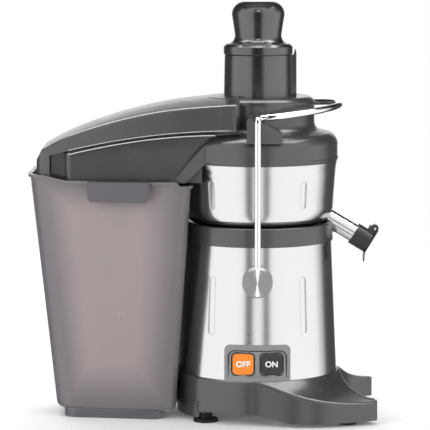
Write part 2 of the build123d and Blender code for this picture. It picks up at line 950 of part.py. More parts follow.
# Spout tube, trimmed to the inside of the bowl wall
with BuildPart() as spout_tube:
    with BuildSketch(spout_plane.offset(spout_root)):
        Circle(spout_radius)
        Circle(spout_radius - spout_wall, mode=Mode.SUBTRACT)
    extrude(amount=nozzle_start + spout_in_nozzle - spout_root)
    with BuildSketch(section):
        with BuildLine():
            ThreePointArc(*bowl_outer[0:3])
            ThreePointArc(*bowl_outer[2:5])
            Polyline(
                bowl_outer[4], bowl_outer[5], (0, bowl_top), (0, bowl_floor), bowl_outer[0]
            )
        make_face()
    revolve(axis=spin_axis, mode=Mode.SUBTRACT)
finish(spout_tube, "spout_tube")

# Nozzle cap with two hinge ears
flap_pin_place = nozzle_start + nozzle_length + 0.3 + flap_thickness - flap_barrel
side_plane = Plane(
    origin=(axis_x + spout_start[0], 0, spout_start[1]),
    x_dir=(cos(radians(spout_angle)), 0, -sin(radians(spout_angle))),
    z_dir=(0, -1, 0),
)
with BuildPart() as nozzle_cap:
    with BuildSketch(spout_plane.offset(nozzle_start)):
        Circle(nozzle_radius)
    extrude(amount=nozzle_length)
    for side in (-1, 1):
        ear_middle = side * (flap_barrel_width / 2 + seat_gap + hinge_ear / 2)
        with BuildSketch(side_plane.offset(ear_middle)):
            with Locations((flap_pin_place, flap_lift)):
                Circle(hinge_ear_radius)
            with Locations((flap_pin_place + (hinge_ear_radius - ear_length) / 2, flap_lift / 2)):
                Rectangle(hinge_ear_radius + ear_length, flap_lift)
        extrude(amount=hinge_ear / 2, both=True)
    with BuildSketch(spout_plane.offset(nozzle_start)):
        Circle(spout_radius + running_gap)
    extrude(amount=spout_in_nozzle, mode=Mode.SUBTRACT)
    with BuildSketch(spout_plane.offset(nozzle_start)):
        Circle(spout_radius - spout_wall)
    extrude(amount=nozzle_length + 5, mode=Mode.SUBTRACT)
    with BuildSketch(side_plane):
        with Locations((flap_pin_place, flap_lift)):
            Circle(flap_pin_radius)
    extrude(amount=20, both=True, mode=Mode.SUBTRACT)
finish(nozzle_cap, "nozzle_cap")

# Hinge pin of the flap
with BuildPart() as flap_pin:
    with BuildSketch(side_plane):
        with Locations((flap_pin_place, flap_lift)):
            Circle(flap_pin_radius)
    extrude(amount=flap_barrel_width / 2 + seat_gap + hinge_ear + 0.5, both=True)
finish(flap_pin, "flap_pin")

# Drip flap with a curled barrel
with BuildPart() as drip_flap:
    with BuildSketch(side_plane):
        with Locations((flap_pin_place, flap_lift)):
            Circle(flap_barrel)
    extrude(amount=flap_barrel_width / 2, both=True)
    face_place = flap_pin_place + flap_barrel
    with BuildSketch(side_plane):
        Polygon(
            (face_place, flap_lift),
            (face_place, -flap_drop),
            (face_place + flap_tail * sin(radians(28)), -flap_drop - flap_tail * cos(radians(28))),
            (face_place + flap_tail * sin(radians(28)) - flap_thickness,
             -flap_drop - flap_tail * cos(radians(28))),
            (face_place - flap_thickness, -flap_drop),
            (face_place - flap_thickness, flap_lift),
            align=None,
        )
    extrude(amount=flap_width / 2, both=True)
    with BuildSketch(side_plane):
        with Locations((flap_pin_place, flap_lift)):
            Circle(flap_pin_radius + running_gap)
    extrude(amount=flap_width, both=True, mode=Mode.SUBTRACT)
finish(drip_flap, "drip_flap")

# Drive hub that carries the basket and hangs over the bowl collar
with BuildPart() as drive_hub:
    with BuildSketch(section):
        Polygon(
            (shaft_radius, hub_top),
            (hub_radius, hub_top),
            (hub_radius, hub_bottom),
            (hub_radius - hub_wall, hub_bottom),
            (hub_radius - hub_wall, collar_top + 2.5),
            (shaft_radius + 8, collar_top + 2.5),
            (shaft_radius + 8, collar_top - 12),
            (shaft_radius, collar_top - 12),
            align=None,
        )
    revolve(axis=spin_axis)
finish(drive_hub, "drive_hub")

# Filter basket: perforated cone
basket_floor_height = hub_top
slant = (basket_top_radius - basket_floor_radius) / (basket_top - basket_floor_height)
with BuildPart() as filter_basket:
    with BuildSketch(section):
        Polygon(
            (shaft_radius, basket_floor_height),
            (basket_floor_radius, basket_floor_height),
            (basket_top_radius, basket_top - basket_rim),
            (basket_top_radius + basket_rim, basket_top - basket_rim),
            (basket_top_radius + basket_rim, basket_top),
            (basket_top_radius - basket_wall, basket_top),
            (basket_floor_radius - basket_wall, basket_floor_height + basket_wall),
            (shaft_radius, basket_floor_height + basket_wall),
            align=None,
        )
    revolve(axis=spin_axis)
    for row in range(slot_rows):
        height = basket_floor_height + 8 + row * (slot_length + 2.5)
        radius = basket_floor_radius + slant * (height - basket_floor_height)
        holes = []
        for turn in range(slot_count):
            angle = (turn + 0.5 * (row % 2)) * 360 / slot_count
            holes.append(wall_plane(radius, height, angle, -slant).offset(-3))
        with BuildSketch(*holes):
            Rectangle(slot_width, slot_length)
        extrude(amount=6, mode=Mode.SUBTRACT)
finish(filter_basket, "filter_basket")

# Grater disc with rings of raised teeth
grater_height = basket_floor_height + basket_wall
with BuildPart() as grater_disc:
    add(disc(grater_radius, grater_height, grater_height + grater_thickness, shaft_radius))
    for ring, count in tooth_rings:
        for turn in range(count):
            angle = radians(turn * 360 / count + ring)
            place = (axis_x + ring * cos(angle), ring * sin(angle),
                     grater_height + grater_thickness)
            along = (-sin(angle + tooth_turn), cos(angle + tooth_turn), 0)
            across = (along[1], -along[0], 0)
            with BuildSketch(Plane(origin=place, x_dir=along, z_dir=across)):
                Polygon((0, 0), (tooth_length, 0), (0, tooth_height), align=None)
            extrude(amount=tooth_width / 2, both=True)
finish(grater_disc, "grater_disc")

# Nut on the shaft end
with BuildPart() as basket_nut:
    with BuildSketch(level(grater_height + grater_thickness)):
        RegularPolygon(nut_radius, 6)
        Circle(shaft_radius, mode=Mode.SUBTRACT)
    extrude(amount=nut_height - 4)
    with BuildSketch(level(grater_height + grater_thickness + nut_height - 4)):
        Circle(nut_radius - 1)
    extrude(amount=4, taper=20)
    with BuildSketch(level(grater_height + grater_thickness)):
        Circle(shaft_radius)
    extrude(amount=nut_height - 2, mode=Mode.SUBTRACT)
finish(basket_nut, "basket_nut")


def hood_plan(inset):
    """Plan of the chute hood: tapered towards its far end, with rounded corners."""
    end = hood_end + inset
    front = hood_front - inset
    with BuildSketch(level(0)) as plan:
        with BuildLine():
            near = ThreePointArc(
                (end, inset - hood_end_width),
                (hood_mid, inset - hood_mid_width),
                (front, inset - hood_front_width),
            )
            far = ThreePointArc(
                (end, hood_end_width - inset),
                (hood_mid, hood_mid_width - inset),
                (front, hood_front_width - inset),
            )
            Line(near @ 0, far @ 0)
            Line(near @ 1, far @ 1)
        make_face()
        fillet(plan.vertices().group_by(Axis.X)[0], radius=hood_corner - inset)
        fillet(plan.vertices().group_by(Axis.X)[-1], radius=hood_front_corner - inset)
    return plan.sketch


def chute_plan(inset):
    """Plan of the chute walls that stand inside the bin."""
    with BuildSketch(level(0)) as plan:
        Polygon(
            (chute_back + inset, inset - chute_back_width),
            (hood_front - inset, inset - chute_front_width),
            (hood_front - inset, chute_front_width - inset),
            (chute_back + inset, chute_back_width - inset),
            align=None,
        )
        fillet(plan.vertices().group_by(Axis.X)[0], radius=8 - inset)
    return plan.sketch


def crown_block(lower):
    """Body under the arched crown of the hood, lowered by an amount."""
    with BuildPart() as body:
        for place, height in crown_line:
            top = height - lower
            edge = top - crown_reach ** 2 / (2 * crown_radius)
            across = Plane(origin=(axis_x + place, 0, 0), x_dir=(0, 1, 0), z_dir=(1, 0, 0))
            with BuildSketch(across):
                with BuildLine():
                    ThreePointArc((-crown_reach, edge), (0, top), (crown_reach, edge))
                    Polyline(
                        (crown_reach, edge), (crown_reach, 0), (-crown_reach, 0),
                        (-crown_reach, edge),
                    )
                make_face()
        loft()
        with BuildSketch(section):
            Polygon(
                (hood_end + lower, 0),
                (hood_end + lower, bevel_low),
                (hood_end + lower + bevel_run, bevel_low + bevel_rise),
                (hood_end + lower + bevel_run, bevel_low + 200),
                (100, bevel_low + 200),
                (100, 0),
                align=None,
            )
        extrude(amount=300, both=True, mode=Mode.INTERSECT)
    return body.part


def below_ledge(rise, low, back):
    """Body below the curved ledge along the hood, raised by an amount."""
    with BuildPart() as body:
        with BuildSketch(section):
            with BuildLine():
                ThreePointArc(
                    (back, ledge_low + rise),
                    (ledge_middle, ledge_middle_height + rise),
                    (hood_front - 8, ledge_height + rise),
                )
                Polyline(
                    (hood_front - 8, ledge_height + rise),
                    (hood_front + 60, ledge_height + rise),
                    (hood_front + 60, low),
                    (back, low),
                    (back, ledge_low + rise),
                )
            make_face()
        extrude(amount=cut_reach, both=True)
    return body.part


leg_inside = hood_end + leg_thickness
hood_crown = crown_block(0)
hood_crown_inside = crown_block(lid_wall)
hood_outline = hood_plan(0)
hood_outline_inside = hood_plan(lid_wall)
chute_outline = chute_plan(0)
chute_outline_inside = chute_plan(lid_wall)

# Hood over the bin, solid and hollow
with BuildPart() as hood_body:
    extrude(hood_outline, amount=drum_top + 20)
    add(hood_crown, mode=Mode.INTERSECT)
    fillet(hood_body.edges().filter_by(is_hood_ridge), radius=ridge_radius)
    add(below_ledge(0, 0, leg_inside), mode=Mode.SUBTRACT)
    with BuildSketch(level(0)):
        Rectangle(800, 400)
    extrude(amount=chute_bottom, mode=Mode.SUBTRACT)
with BuildPart() as hood_hollow:
    extrude(hood_outline_inside, amount=drum_top + 20)
    add(hood_crown_inside, mode=Mode.INTERSECT)
    add(below_ledge(lid_wall, 0, leg_inside), mode=Mode.SUBTRACT)

# Chute below the hood, solid and hollow
with BuildPart() as chute_body:
    extrude(chute_outline, amount=drum_top)
    add(below_ledge(lid_wall, chute_bottom, chute_back), mode=Mode.INTERSECT)
with BuildPart() as chute_hollow:
    extrude(chute_outline_inside, amount=drum_top + 20)
    add(hood_crown_inside, mode=Mode.INTERSECT)

# Recessed cheeks between the end of the chute and the end wall of the hood
nose_middle = (leg_inside + chute_back) / 2
nose_length = chute_back - leg_inside + lid_wall
with BuildPart() as chute_cheeks:
    with BuildSketch(level(chute_bottom)):
        for side in (-1, 1):
            with Locations((nose_middle, side * (nose_width - lid_wall / 2))):
                Rectangle(nose_length, lid_wall)
    extrude(amount=ledge_low + lid_wall - chute_bottom)

stop_front = -arm_radius - 1
stop_round = (stop_front - ear_back) / 2
cone_outside = cone_bottom_radius + cone_band

# Conical shoulder of the chute outside the bowl, and the floor that guides the pulp
with BuildPart() as chute_cone:
    with BuildSketch(section):
        Polygon(
            (lid_skirt_radius - lid_wall, cone_band_top),
            (lid_skirt_radius + 1.2, cone_band_top),
            (cone_outside, chute_bottom),
            (cone_bottom_radius, chute_bottom),
            (cone_top_radius, lid_bottom),
            (lid_skirt_radius - lid_wall, lid_bottom),
            align=None,
        )
    revolve(axis=spin_axis)
    with BuildSketch(level(0)):
        with Locations((-cone_bottom_radius + 10, 0)):
            Rectangle(90, 2 * (chute_front_width + 1.5))
    extrude(amount=400, mode=Mode.INTERSECT)
with BuildPart() as chute_floor:
    with BuildSketch(section):
        Polygon(
            (lid_skirt_radius - lid_wall, lid_bottom),
            (lid_skirt_radius, lid_bottom),
            (cone_bottom_radius, chute_bottom),
            (cone_bottom_radius + lid_wall * 1.2, chute_bottom),
            (lid_skirt_radius + lid_wall * 1.2, lid_bottom + 1.2),
            (lid_skirt_radius, lid_bottom + lid_wall),
            (lid_skirt_radius - lid_wall, lid_bottom + lid_wall),
            align=None,
        )
    revolve(axis=spin_axis)
    with BuildSketch(level(0)):
        with Locations((chute_back, 0)):
            Rectangle(2 * (-chute_back - 30), 2 * (chute_front_width - 1))
    extrude(amount=400, mode=Mode.INTERSECT)



def moved_in(spot, lean, inset):
    """Point of a section moved in along its own direction."""
    return (spot[0] - lean[0] * inset, spot[1] - lean[1] * inset)


def lid_shape(inset):
    """Round body of the lid: skirt, rounded shoulder and drum, moved in by inset."""
    side = lid_side_radius - inset
    foot_middle = (drum_radius + drum_foot, drum_foot_height + drum_foot)
    foot = drum_foot + inset
    top_middle = (drum_radius - drum_round, drum_top - drum_round)
    top = drum_round - inset
    half = sqrt(0.5)
    with BuildPart() as body:
        with BuildSketch(section):
            with BuildLine():
                Polyline((0, lid_bottom), (side, lid_bottom), (side, shoulder_start))
                shoulder = ThreePointArc(
                    (side, shoulder_start),
                    moved_in(shoulder_middle, shoulder_middle_lean, inset),
                    moved_in(shoulder_end, shoulder_end_lean, inset),
                )
                Line(shoulder @ 1, (foot_middle[0], foot_middle[1] - foot))
                ThreePointArc(
                    (foot_middle[0], foot_middle[1] - foot),
                    (foot_middle[0] - foot * half, foot_middle[1] - foot * half),
                    (foot_middle[0] - foot, foot_middle[1]),
                )
                Line((foot_middle[0] - foot, foot_middle[1]), (top_middle[0] + top, top_middle[1]))
                ThreePointArc(
                    (top_middle[0] + top, top_middle[1]),
                    (top_middle[0] + top * half, top_middle[1] + top * half),
                    (top_middle[0], top_middle[1] + top),
                )
                Polyline((top_middle[0], top_middle[1] + top), (0, drum_top - inset), (0, lid_bottom))
            make_face()
        revolve(axis=spin_axis)
    return body.part


lid_outside = lid_shape(0)
lid_inside = lid_shape(lid_wall)

# Lid moulding: round body with clamp ears, hood and chute, open where the feed tube stands
with BuildPart() as lid_moulding:
    add(lid_outside)
    with BuildSketch(section):
        Polygon(
            (lid_side_radius - lid_wall, lid_bottom),
            (lid_skirt_radius, lid_bottom),
            (lid_bead_radius, lid_bead_height),
            (lid_side_radius, lid_bead_height + 3),
            (lid_side_radius - lid_wall, lid_bead_height + 3),
            align=None,
        )
    revolve(axis=spin_axis)
    for side in (-1, 1):
        ear_plane = Plane(origin=(axis_x, side * (drum_radius - 2), 0), x_dir=(1, 0, 0),
                          z_dir=(0, -1, 0))
        with BuildSketch(ear_plane):
            with BuildLine():
                Polyline(
                    (stop_front, arm_seat_height),
                    (arm_radius + 1, arm_seat_height),
                    (ear_front, ear_ramp_end),
                    (ear_front, ear_bottom),
                    (ear_back, ear_bottom),
                    (ear_back, ear_stop_top - stop_round),
                )
                ThreePointArc(
                    (ear_back, ear_stop_top - stop_round),
                    (ear_back + stop_round, ear_stop_top),
                    (stop_front, ear_stop_top - stop_round),
                )
                Line((stop_front, ear_stop_top - stop_round), (stop_front, arm_seat_height))
            make_face()
        extrude(amount=-side * (ear_width - drum_radius + 2))
    add(hood_body.part)
    add(chute_body.part)
    add(chute_cone.part)
    add(chute_cheeks.part)
    add(hood_hollow.part, mode=Mode.SUBTRACT)
    add(chute_hollow.part, mode=Mode.SUBTRACT)
    add(lid_inside, mode=Mode.SUBTRACT)
    add(disc(lid_skirt_radius, chute_bottom - 1, lid_bottom), mode=Mode.SUBTRACT)
    add(chute_floor.part)
    add(disc(tube_foot_radius + press_gap, lid_bottom, drum_top + 5), mode=Mode.SUBTRACT)

# The long hood outside the bowl is a piece of its own, joined to the lid along a round seam
with BuildPart() as hood_side:
    with BuildSketch(level(chute_bottom - 1)):
        with Locations(((hood_end + hood_seam) / 2 - seat_gap, 0)):
            Rectangle(hood_seam - hood_end + 2 * seat_gap, 3 * hood_front_width)
        Circle(hood_seam_radius, mode=Mode.SUBTRACT)
    extrude(amount=drum_top)
with BuildPart() as lid:
    add(lid_moulding.part)
    add(hood_side.part, mode=Mode.SUBTRACT)
with BuildPart() as pulp_hood:
    add(lid_moulding.part)
    add(hood_side.part, mode=Mode.INTERSECT)
finish(lid, "lid")
finish(pulp_hood, "pulp_hood")

# Feed tube, welded under the top of the lid by a collar, with the key rib on its right side
with BuildPart() as feed_tube:
    with BuildSketch(section):
        Polygon(
            (tube_bore, tube_bottom),
            (tube_foot_radius, tube_bottom),
            (tube_foot_radius, drum_top - lid_wall - tube_collar),
            (tube_foot_radius + tube_collar, drum_top - lid_wall - tube_collar),
            (tube_foot_radius + tube_collar, drum_top - lid_wall),
            (tube_foot_radius, drum_top - lid_wall),
            (tube_foot_radius, drum_top),
            (tube_radius, tube_top),
            (tube_bore, tube_top),
            align=None,
        )
    revolve(axis=spin_axis)
    with BuildSketch(section):
        Polygon(
            (tube_bore + 1, drum_top),
            (key_reach + 0.3, drum_top),
            (key_reach, key_top - 5),
            (key_reach - 1.8, key_top),
            (flange_radius + 1.2, tube_top + 0.5),
            (flange_radius + 1.2, tube_top),
            (tube_bore + 1, tube_top),
            align=None,
        )
    extrude(amount=key_width / 2, both=True)
    add(disc(tube_bore, tube_bottom - 1, tube_top + 1), mode=Mode.SUBTRACT)
finish(feed_tube, "feed_tube")

# Wiper seal inside the lid skirt
with BuildPart() as lid_seal:
    add(disc(lid_side_radius - lid_wall, lid_bottom - 0.1, lid_bottom + seal_thickness,
             lid_side_radius - lid_wall - 2))
finish(lid_seal, "lid_seal")

# Plunger body with its flange
plunger_radius = tube_bore - slide_gap
with BuildPart() as plunger_body:
    with BuildSketch(section):
        Polygon(
            (0, plunger_bottom),
            (plunger_radius - 2, plunger_bottom),
            (plunger_radius, plunger_bottom + 3),
            (plunger_radius, flange_bottom),
            (flange_radius - 0.8, flange_bottom),
            (flange_radius, flange_bottom + 1),
            (flange_radius, flange_top - 3),
            (flange_radius - 3, flange_top),
            (plunger_radius - plunger_wall, flange_top),
            (plunger_radius - plunger_wall, plunger_bottom + plunger_wall),
            (0, plunger_bottom + plunger_wall),
            align=None,
        )
    revolve(axis=spin_axis)
finish(plunger_body, "plunger_body")

# Plunger knob, plugged into the body
knob_neck_height = flange_top + knob_neck_rise
knob_bulb_height = knob_neck_height + knob_bulb_rise
knob_top = knob_bulb_height + knob_dome_rise
plug_radius = plunger_radius - plunger_wall - press_gap
with BuildPart() as plunger_knob:
    with BuildSketch(section):
        with BuildLine():
            Polyline(
                (0, knob_top),
                (knob_flat_radius, knob_top),
            )
            ThreePointArc(
                (knob_flat_radius, knob_top),
                (knob_bulb_radius - 3.2, knob_top - 5.5),
                (knob_bulb_radius, knob_bulb_height),
            )
            ThreePointArc(
                (knob_bulb_radius, knob_bulb_height),
                (knob_neck_radius + 1.2, knob_neck_height + 8),
                (knob_neck_radius, knob_neck_height),
            )
            ThreePointArc(
                (knob_neck_radius, knob_neck_height),
                (knob_neck_radius + 1.8, flange_top + 4.2),
                (plug_radius + 1.5, flange_top + 0.1),
            )
            Polyline(
                (plug_radius + 1.5, flange_top + 0.1),
                (plug_radius, flange_top + 0.1),
                (plug_radius, flange_top - 6),
                (knob_neck_radius - 5, flange_top - 6),
                (knob_neck_radius - 5, knob_bulb_height),
                (knob_neck_radius - 9, knob_top - 5),
                (0, knob_top - 5),
                (0, knob_top),
            )
        make_face()
    revolve(axis=spin_axis)
finish(plunger_knob, "plunger_knob")


def arm_point(forward, across):
    """Point of the clamp's bail, which rises a little towards the front."""
    tilt = radians(arm_tilt)
    return (axis_x + forward * cos(tilt), across, arm_axis_height + forward * sin(tilt))


# Bail clamp arm, one bent rod
bend = (arm_width - arm_inner_width) / 2
elbow = arm_width - bend
corner = bend * cos(radians(45))
arm_start = pivot_height + arm_socket
with BuildPart() as clamp_arm:
    with BuildLine() as arm_path:
        Line((axis_x, -arm_width, arm_start), (axis_x, -arm_width, arm_axis_height - bend))
        ThreePointArc(
            (axis_x, -arm_width, arm_axis_height - bend),
            (axis_x, -elbow - corner, arm_axis_height - bend + corner),
            (axis_x, -elbow, arm_axis_height),
        )
        ThreePointArc(
            arm_point(0, -elbow),
            arm_point(bend - corner, corner - elbow),
            arm_point(bend, -arm_inner_width),
        )
        ThreePointArc(
            arm_point(bend, -arm_inner_width),
            arm_point(bend + arm_inner_width, 0),
            arm_point(bend, arm_inner_width),
        )
        ThreePointArc(
            arm_point(bend, arm_inner_width),
            arm_point(bend - corner, elbow - corner),
            arm_point(0, elbow),
        )
        ThreePointArc(
            (axis_x, elbow, arm_axis_height),
            (axis_x, elbow + corner, arm_axis_height - bend + corner),
            (axis_x, arm_width, arm_axis_height - bend),
        )
        Line((axis_x, arm_width, arm_axis_height - bend), (axis_x, arm_width, arm_start))
    with BuildSketch(Plane((axis_x, -arm_width, arm_start))):
        Circle(arm_radius)
    sweep(path=arm_path.line)
finish(clamp_arm, "clamp_arm")


def pair_of_discs(radius, near, far, height, bore=0.0):
    """Two discs across the machine, one each side, between two distances from the middle."""
    with BuildPart() as discs:
        for side in (-1, 1):
            with BuildSketch(front_plane(near, side)):
                with Locations((0, height)):
                    Circle(radius)
                    if bore > 0:
                        Circle(bore, mode=Mode.SUBTRACT)
            extrude(amount=far - near)
    return discs.part


# Pivot knobs on the rod ends
with BuildPart() as clamp_knobs:
    add(pair_of_discs(clamp_knob_radius, clamp_knob_back, clamp_knob_face, pivot_height))
    chamfer(clamp_knobs.faces().sort_by(Axis.Y)[0].edges(), length=1.4)
    chamfer(clamp_knobs.faces().sort_by(Axis.Y)[-1].edges(), length=1.4)
    add(pair_of_discs(stud_radius + running_gap, clamp_knob_back - 1, stud_end + seat_gap,
                      pivot_height), mode=Mode.SUBTRACT)
    for side in (-1, 1):
        with BuildSketch(Plane((axis_x, side * arm_width, arm_start))):
            Circle(arm_radius + running_gap)
        extrude(amount=40, mode=Mode.SUBTRACT)
finish(clamp_knobs, "clamp_knobs")

# Studs and bushes that carry the knobs
bush_inside = housing_radius(pivot_height) - housing_wall - 3
with BuildPart() as pivot_bushes:
    add(pair_of_discs(bush_radius - press_gap, bush_inside, clamp_knob_back - seat_gap,
                      pivot_height, stud_radius + press_gap))
    add(pair_of_discs(bush_radius + 4, bush_inside - 2, bush_inside, pivot_height,
                      stud_radius + press_gap))
finish(pivot_bushes, "pivot_bushes")
with BuildPart() as pivot_studs:
    add(pair_of_discs(stud_radius, bush_inside - 7, stud_end, pivot_height))
    for side in (-1, 1):
        with BuildSketch(front_plane(bush_inside - 7, side)):
            with Locations((0, pivot_height)):
                RegularPolygon(stud_radius + 4, 6)
        extrude(amount=5)
finish(pivot_studs, "pivot_studs")


def bin_width(place):
    """Half width of the bin at its rim, at a distance along the machine."""
    share = (place - bin_left) / (bin_right - bin_left)
    return bin_left_width + share * (bin_right_width - bin_left_width)


def bin_block(grow, low, round_bottom):
    """Tapered body of the bin, grown outwards by an amount and hollowed round the machine."""
    with BuildPart() as body:
        for height in (low, bin_rim_left + 10):
            share = (height - bin_floor) / (bin_rim - bin_floor)
            left = bin_left_bottom + share * (bin_left - bin_left_bottom) - grow
            right = bin_right_bottom + share * (bin_right - bin_right_bottom) + grow
            left_width = bin_left_bottom_width + share * (bin_left_width - bin_left_bottom_width)
            right_width = bin_right_bottom_width + share * (
                bin_right_width - bin_right_bottom_width
            )
            with BuildSketch(level(height)) as plan:
                Polygon(
                    (left, -left_width - grow),
                    (right, -right_width - grow),
                    (right, right_width + grow),
                    (left, left_width + grow),
                    align=None,
                )
                fillet(plan.vertices().group_by(Axis.X)[0], radius=bin_corner + grow)
                fillet(plan.vertices().group_by(Axis.X)[-1], radius=bin_right_corner + grow)
        loft(ruled=True)
        if round_bottom > 0:
            fillet(body.faces().sort_by(Axis.Z)[0].edges(), radius=round_bottom)
        add(disc(bin_hug_radius - grow, low - 1, bin_rim_left + 20), mode=Mode.SUBTRACT)
    return body.part


rim_line = (
    (bin_left - 20, bin_rim_left),
    (bin_left + rim_rise_start, bin_rim_left),
    (bin_left + rim_rise_end, bin_rim),
    (bin_right - rim_drop_start, bin_rim),
    (bin_right - rim_drop_end, bin_rim_right),
    (0, bin_rim_right),
)
bin_slant = (bin_right_width - bin_left_width) / (bin_right - bin_left)
slant_length = sqrt(1 + bin_slant ** 2)
grip_middle = (grip_left + grip_right) / 2
grip_length = grip_right - grip_left

# Pulp bin
bin_outside = bin_block(0, bin_floor, bin_round)
bin_inside = bin_block(-bin_wall, bin_floor + bin_wall, bin_round - bin_wall)
bin_lip_block = bin_block(bin_lip, bin_rim_right - 20, 0)
with BuildPart() as rim_band:
    with BuildSketch(section):
        Polygon(
            *rim_line,
            *[(spot[0], spot[1] - bin_lip_depth) for spot in reversed(rim_line)],
            align=None,
        )
    extrude(amount=cut_reach, both=True)
    add(bin_lip_block, mode=Mode.INTERSECT)
with BuildPart() as hug_notch:
    with BuildSketch(level(bin_rim_right)):
        with Locations((bin_right - hug_notch_length, 0)):
            Rectangle(2 * hug_notch_length, 2 * hug_notch_width)
    extrude(amount=bin_rim_left)
with BuildPart() as pulp_bin:
    add(bin_outside)
    with BuildSketch(section):
        Polygon(*rim_line, (0, 400), (bin_left - 20, 400), align=None)
    extrude(amount=cut_reach, both=True, mode=Mode.SUBTRACT)
    add(rim_band.part)
    add(hug_notch.part, mode=Mode.SUBTRACT)
    with BuildSketch(level(0)) as plinth:
        Polygon(
            (plinth_left, -plinth_left_width),
            (plinth_right, -plinth_right_width),
            (plinth_right, plinth_right_width),
            (plinth_left, plinth_left_width),
            align=None,
        )
        fillet(plinth.vertices(), radius=bin_corner * plinth_corner_share)
    extrude(amount=bin_floor + bin_wall / 2)
    with BuildSketch(level(0)):
        offset(plinth.sketch, amount=-bin_wall)
    extrude(amount=bin_floor, mode=Mode.SUBTRACT)
    add(bin_inside, mode=Mode.SUBTRACT)
finish(pulp_bin, "pulp_bin")

# Finger grips on both sides of the bin, outside its wall and lip
with BuildPart() as bin_grips:
    for side in (-1, 1):
        grip_plane = Plane(
            origin=(axis_x + grip_middle, side * bin_width(grip_middle), bin_rim),
            x_dir=(-side / slant_length, -bin_slant / slant_length, 0),
            z_dir=(-bin_slant / slant_length, side / slant_length, 0),
        )
        with BuildSketch(grip_plane.offset(-grip_root)):
            with Locations((0, -grip_drop / 2)):
                rim_piece = Rectangle(grip_length, grip_drop)
            fillet(rim_piece.vertices().group_by(Axis.Y)[0], radius=grip_corner)
        extrude(amount=grip_reach + grip_root)
        with BuildSketch(grip_plane.offset(-grip_root)):
            with Locations((0, -grip_drop / 2 - grip_wall)):
                Rectangle(grip_length - 2 * grip_wall, grip_drop)
        extrude(amount=grip_reach + grip_root - grip_wall, mode=Mode.SUBTRACT)
    add(bin_outside, mode=Mode.SUBTRACT)
    add(rim_band.part, mode=Mode.SUBTRACT)
    add(hug_notch.part, mode=Mode.SUBTRACT)
finish(bin_grips, "bin_grips")
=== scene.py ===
from math import cos, pi, radians, sin

import bmesh
import bpy
from mathutils import Matrix, Vector


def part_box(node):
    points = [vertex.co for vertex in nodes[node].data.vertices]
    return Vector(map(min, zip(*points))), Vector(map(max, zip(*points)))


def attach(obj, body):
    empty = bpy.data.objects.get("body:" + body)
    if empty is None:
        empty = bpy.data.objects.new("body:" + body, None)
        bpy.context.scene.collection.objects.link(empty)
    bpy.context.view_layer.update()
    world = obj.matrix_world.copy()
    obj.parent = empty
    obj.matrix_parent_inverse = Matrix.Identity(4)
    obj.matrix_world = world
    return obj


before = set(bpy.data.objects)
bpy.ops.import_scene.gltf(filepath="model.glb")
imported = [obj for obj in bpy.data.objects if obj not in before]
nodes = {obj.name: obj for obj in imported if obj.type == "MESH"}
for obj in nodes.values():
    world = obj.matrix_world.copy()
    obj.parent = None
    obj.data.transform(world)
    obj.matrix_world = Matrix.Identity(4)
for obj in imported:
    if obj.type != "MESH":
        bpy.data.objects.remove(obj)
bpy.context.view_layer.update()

MM = 0.001
MOULDED_EDGE = 0.0011

# Where the motor shaft stands in the frame
shaft_low, shaft_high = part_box("motor_shaft")
SHAFT_X = (shaft_low[0] + shaft_high[0]) / 2


def set_camera():
    """Long lens, a little above the bowl, as in the photograph."""
    aim_left, aim_height = 0.0522, 0.242
    aim = Vector((SHAFT_X - aim_left, 0.0, aim_height))
    turn, distance, rise = radians(1.1), 3.0, 0.363
    data = bpy.data.cameras.new("front_camera")
    data.sensor_fit = "HORIZONTAL"
    data.sensor_width = 36.0
    data.lens = 207.4
    data.clip_end = 20.0
    camera = bpy.data.objects.new("front_camera", data)
    camera.location = aim + Vector((distance * sin(turn), -distance * cos(turn), rise))
    direction = aim - camera.location
    camera.rotation_euler = direction.to_track_quat("-Z", "Y").to_euler()
    bpy.context.collection.objects.link(camera)
    bpy.context.scene.camera = camera


set_camera()
bpy.context.scene.view_settings.view_transform = "Standard"


# Helpers for node trees

def new_material(name):
    """Material with its node tree and its shader."""
    material = bpy.data.materials.new(name)
    material.use_nodes = True
    tree = material.node_tree
    return material, tree, tree.nodes["Principled BSDF"]


def add_node(tree, kind, **values):
    """Node with its properties set by name."""
    node = tree.nodes.new(kind)
    for key, value in values.items():
        setattr(node, key, value)
    return node


def maths(tree, operation, first, second=None, clamp=False):
    """Math node on two inputs, each a socket or a number."""
    node = add_node(tree, "ShaderNodeMath", operation=operation, use_clamp=clamp)
    for index, value in enumerate((first, second)):
        if value is None:
            continue
        if isinstance(value, (int, float)):
            node.inputs[index].default_value = value
        else:
            tree.links.new(value, node.inputs[index])
    return node.outputs[0]


def map_range(tree, value, low, high, bottom=0.0, top=1.0, kind="LINEAR"):
    """Value between low and high carried over to bottom and top."""
    node = add_node(tree, "ShaderNodeMapRange", interpolation_type=kind)
    node.inputs["From Min"].default_value = low
    node.inputs["From Max"].default_value = high
    node.inputs["To Min"].default_value = bottom
    node.inputs["To Max"].default_value = top
    tree.links.new(value, node.inputs["Value"])
    return node.outputs["Result"]


def smooth_ramp(tree, value, low, high, bottom=0.0, top=1.0):
    """Soft step from one value to another."""
    return map_range(tree, value, low, high, bottom, top, "SMOOTHSTEP")


def spread_pattern(tree, pattern, low, high):
    """Middle half of a 0 to 1 pattern carried over to a small range."""
    return map_range(tree, pattern, 0.25, 0.75, low, high)


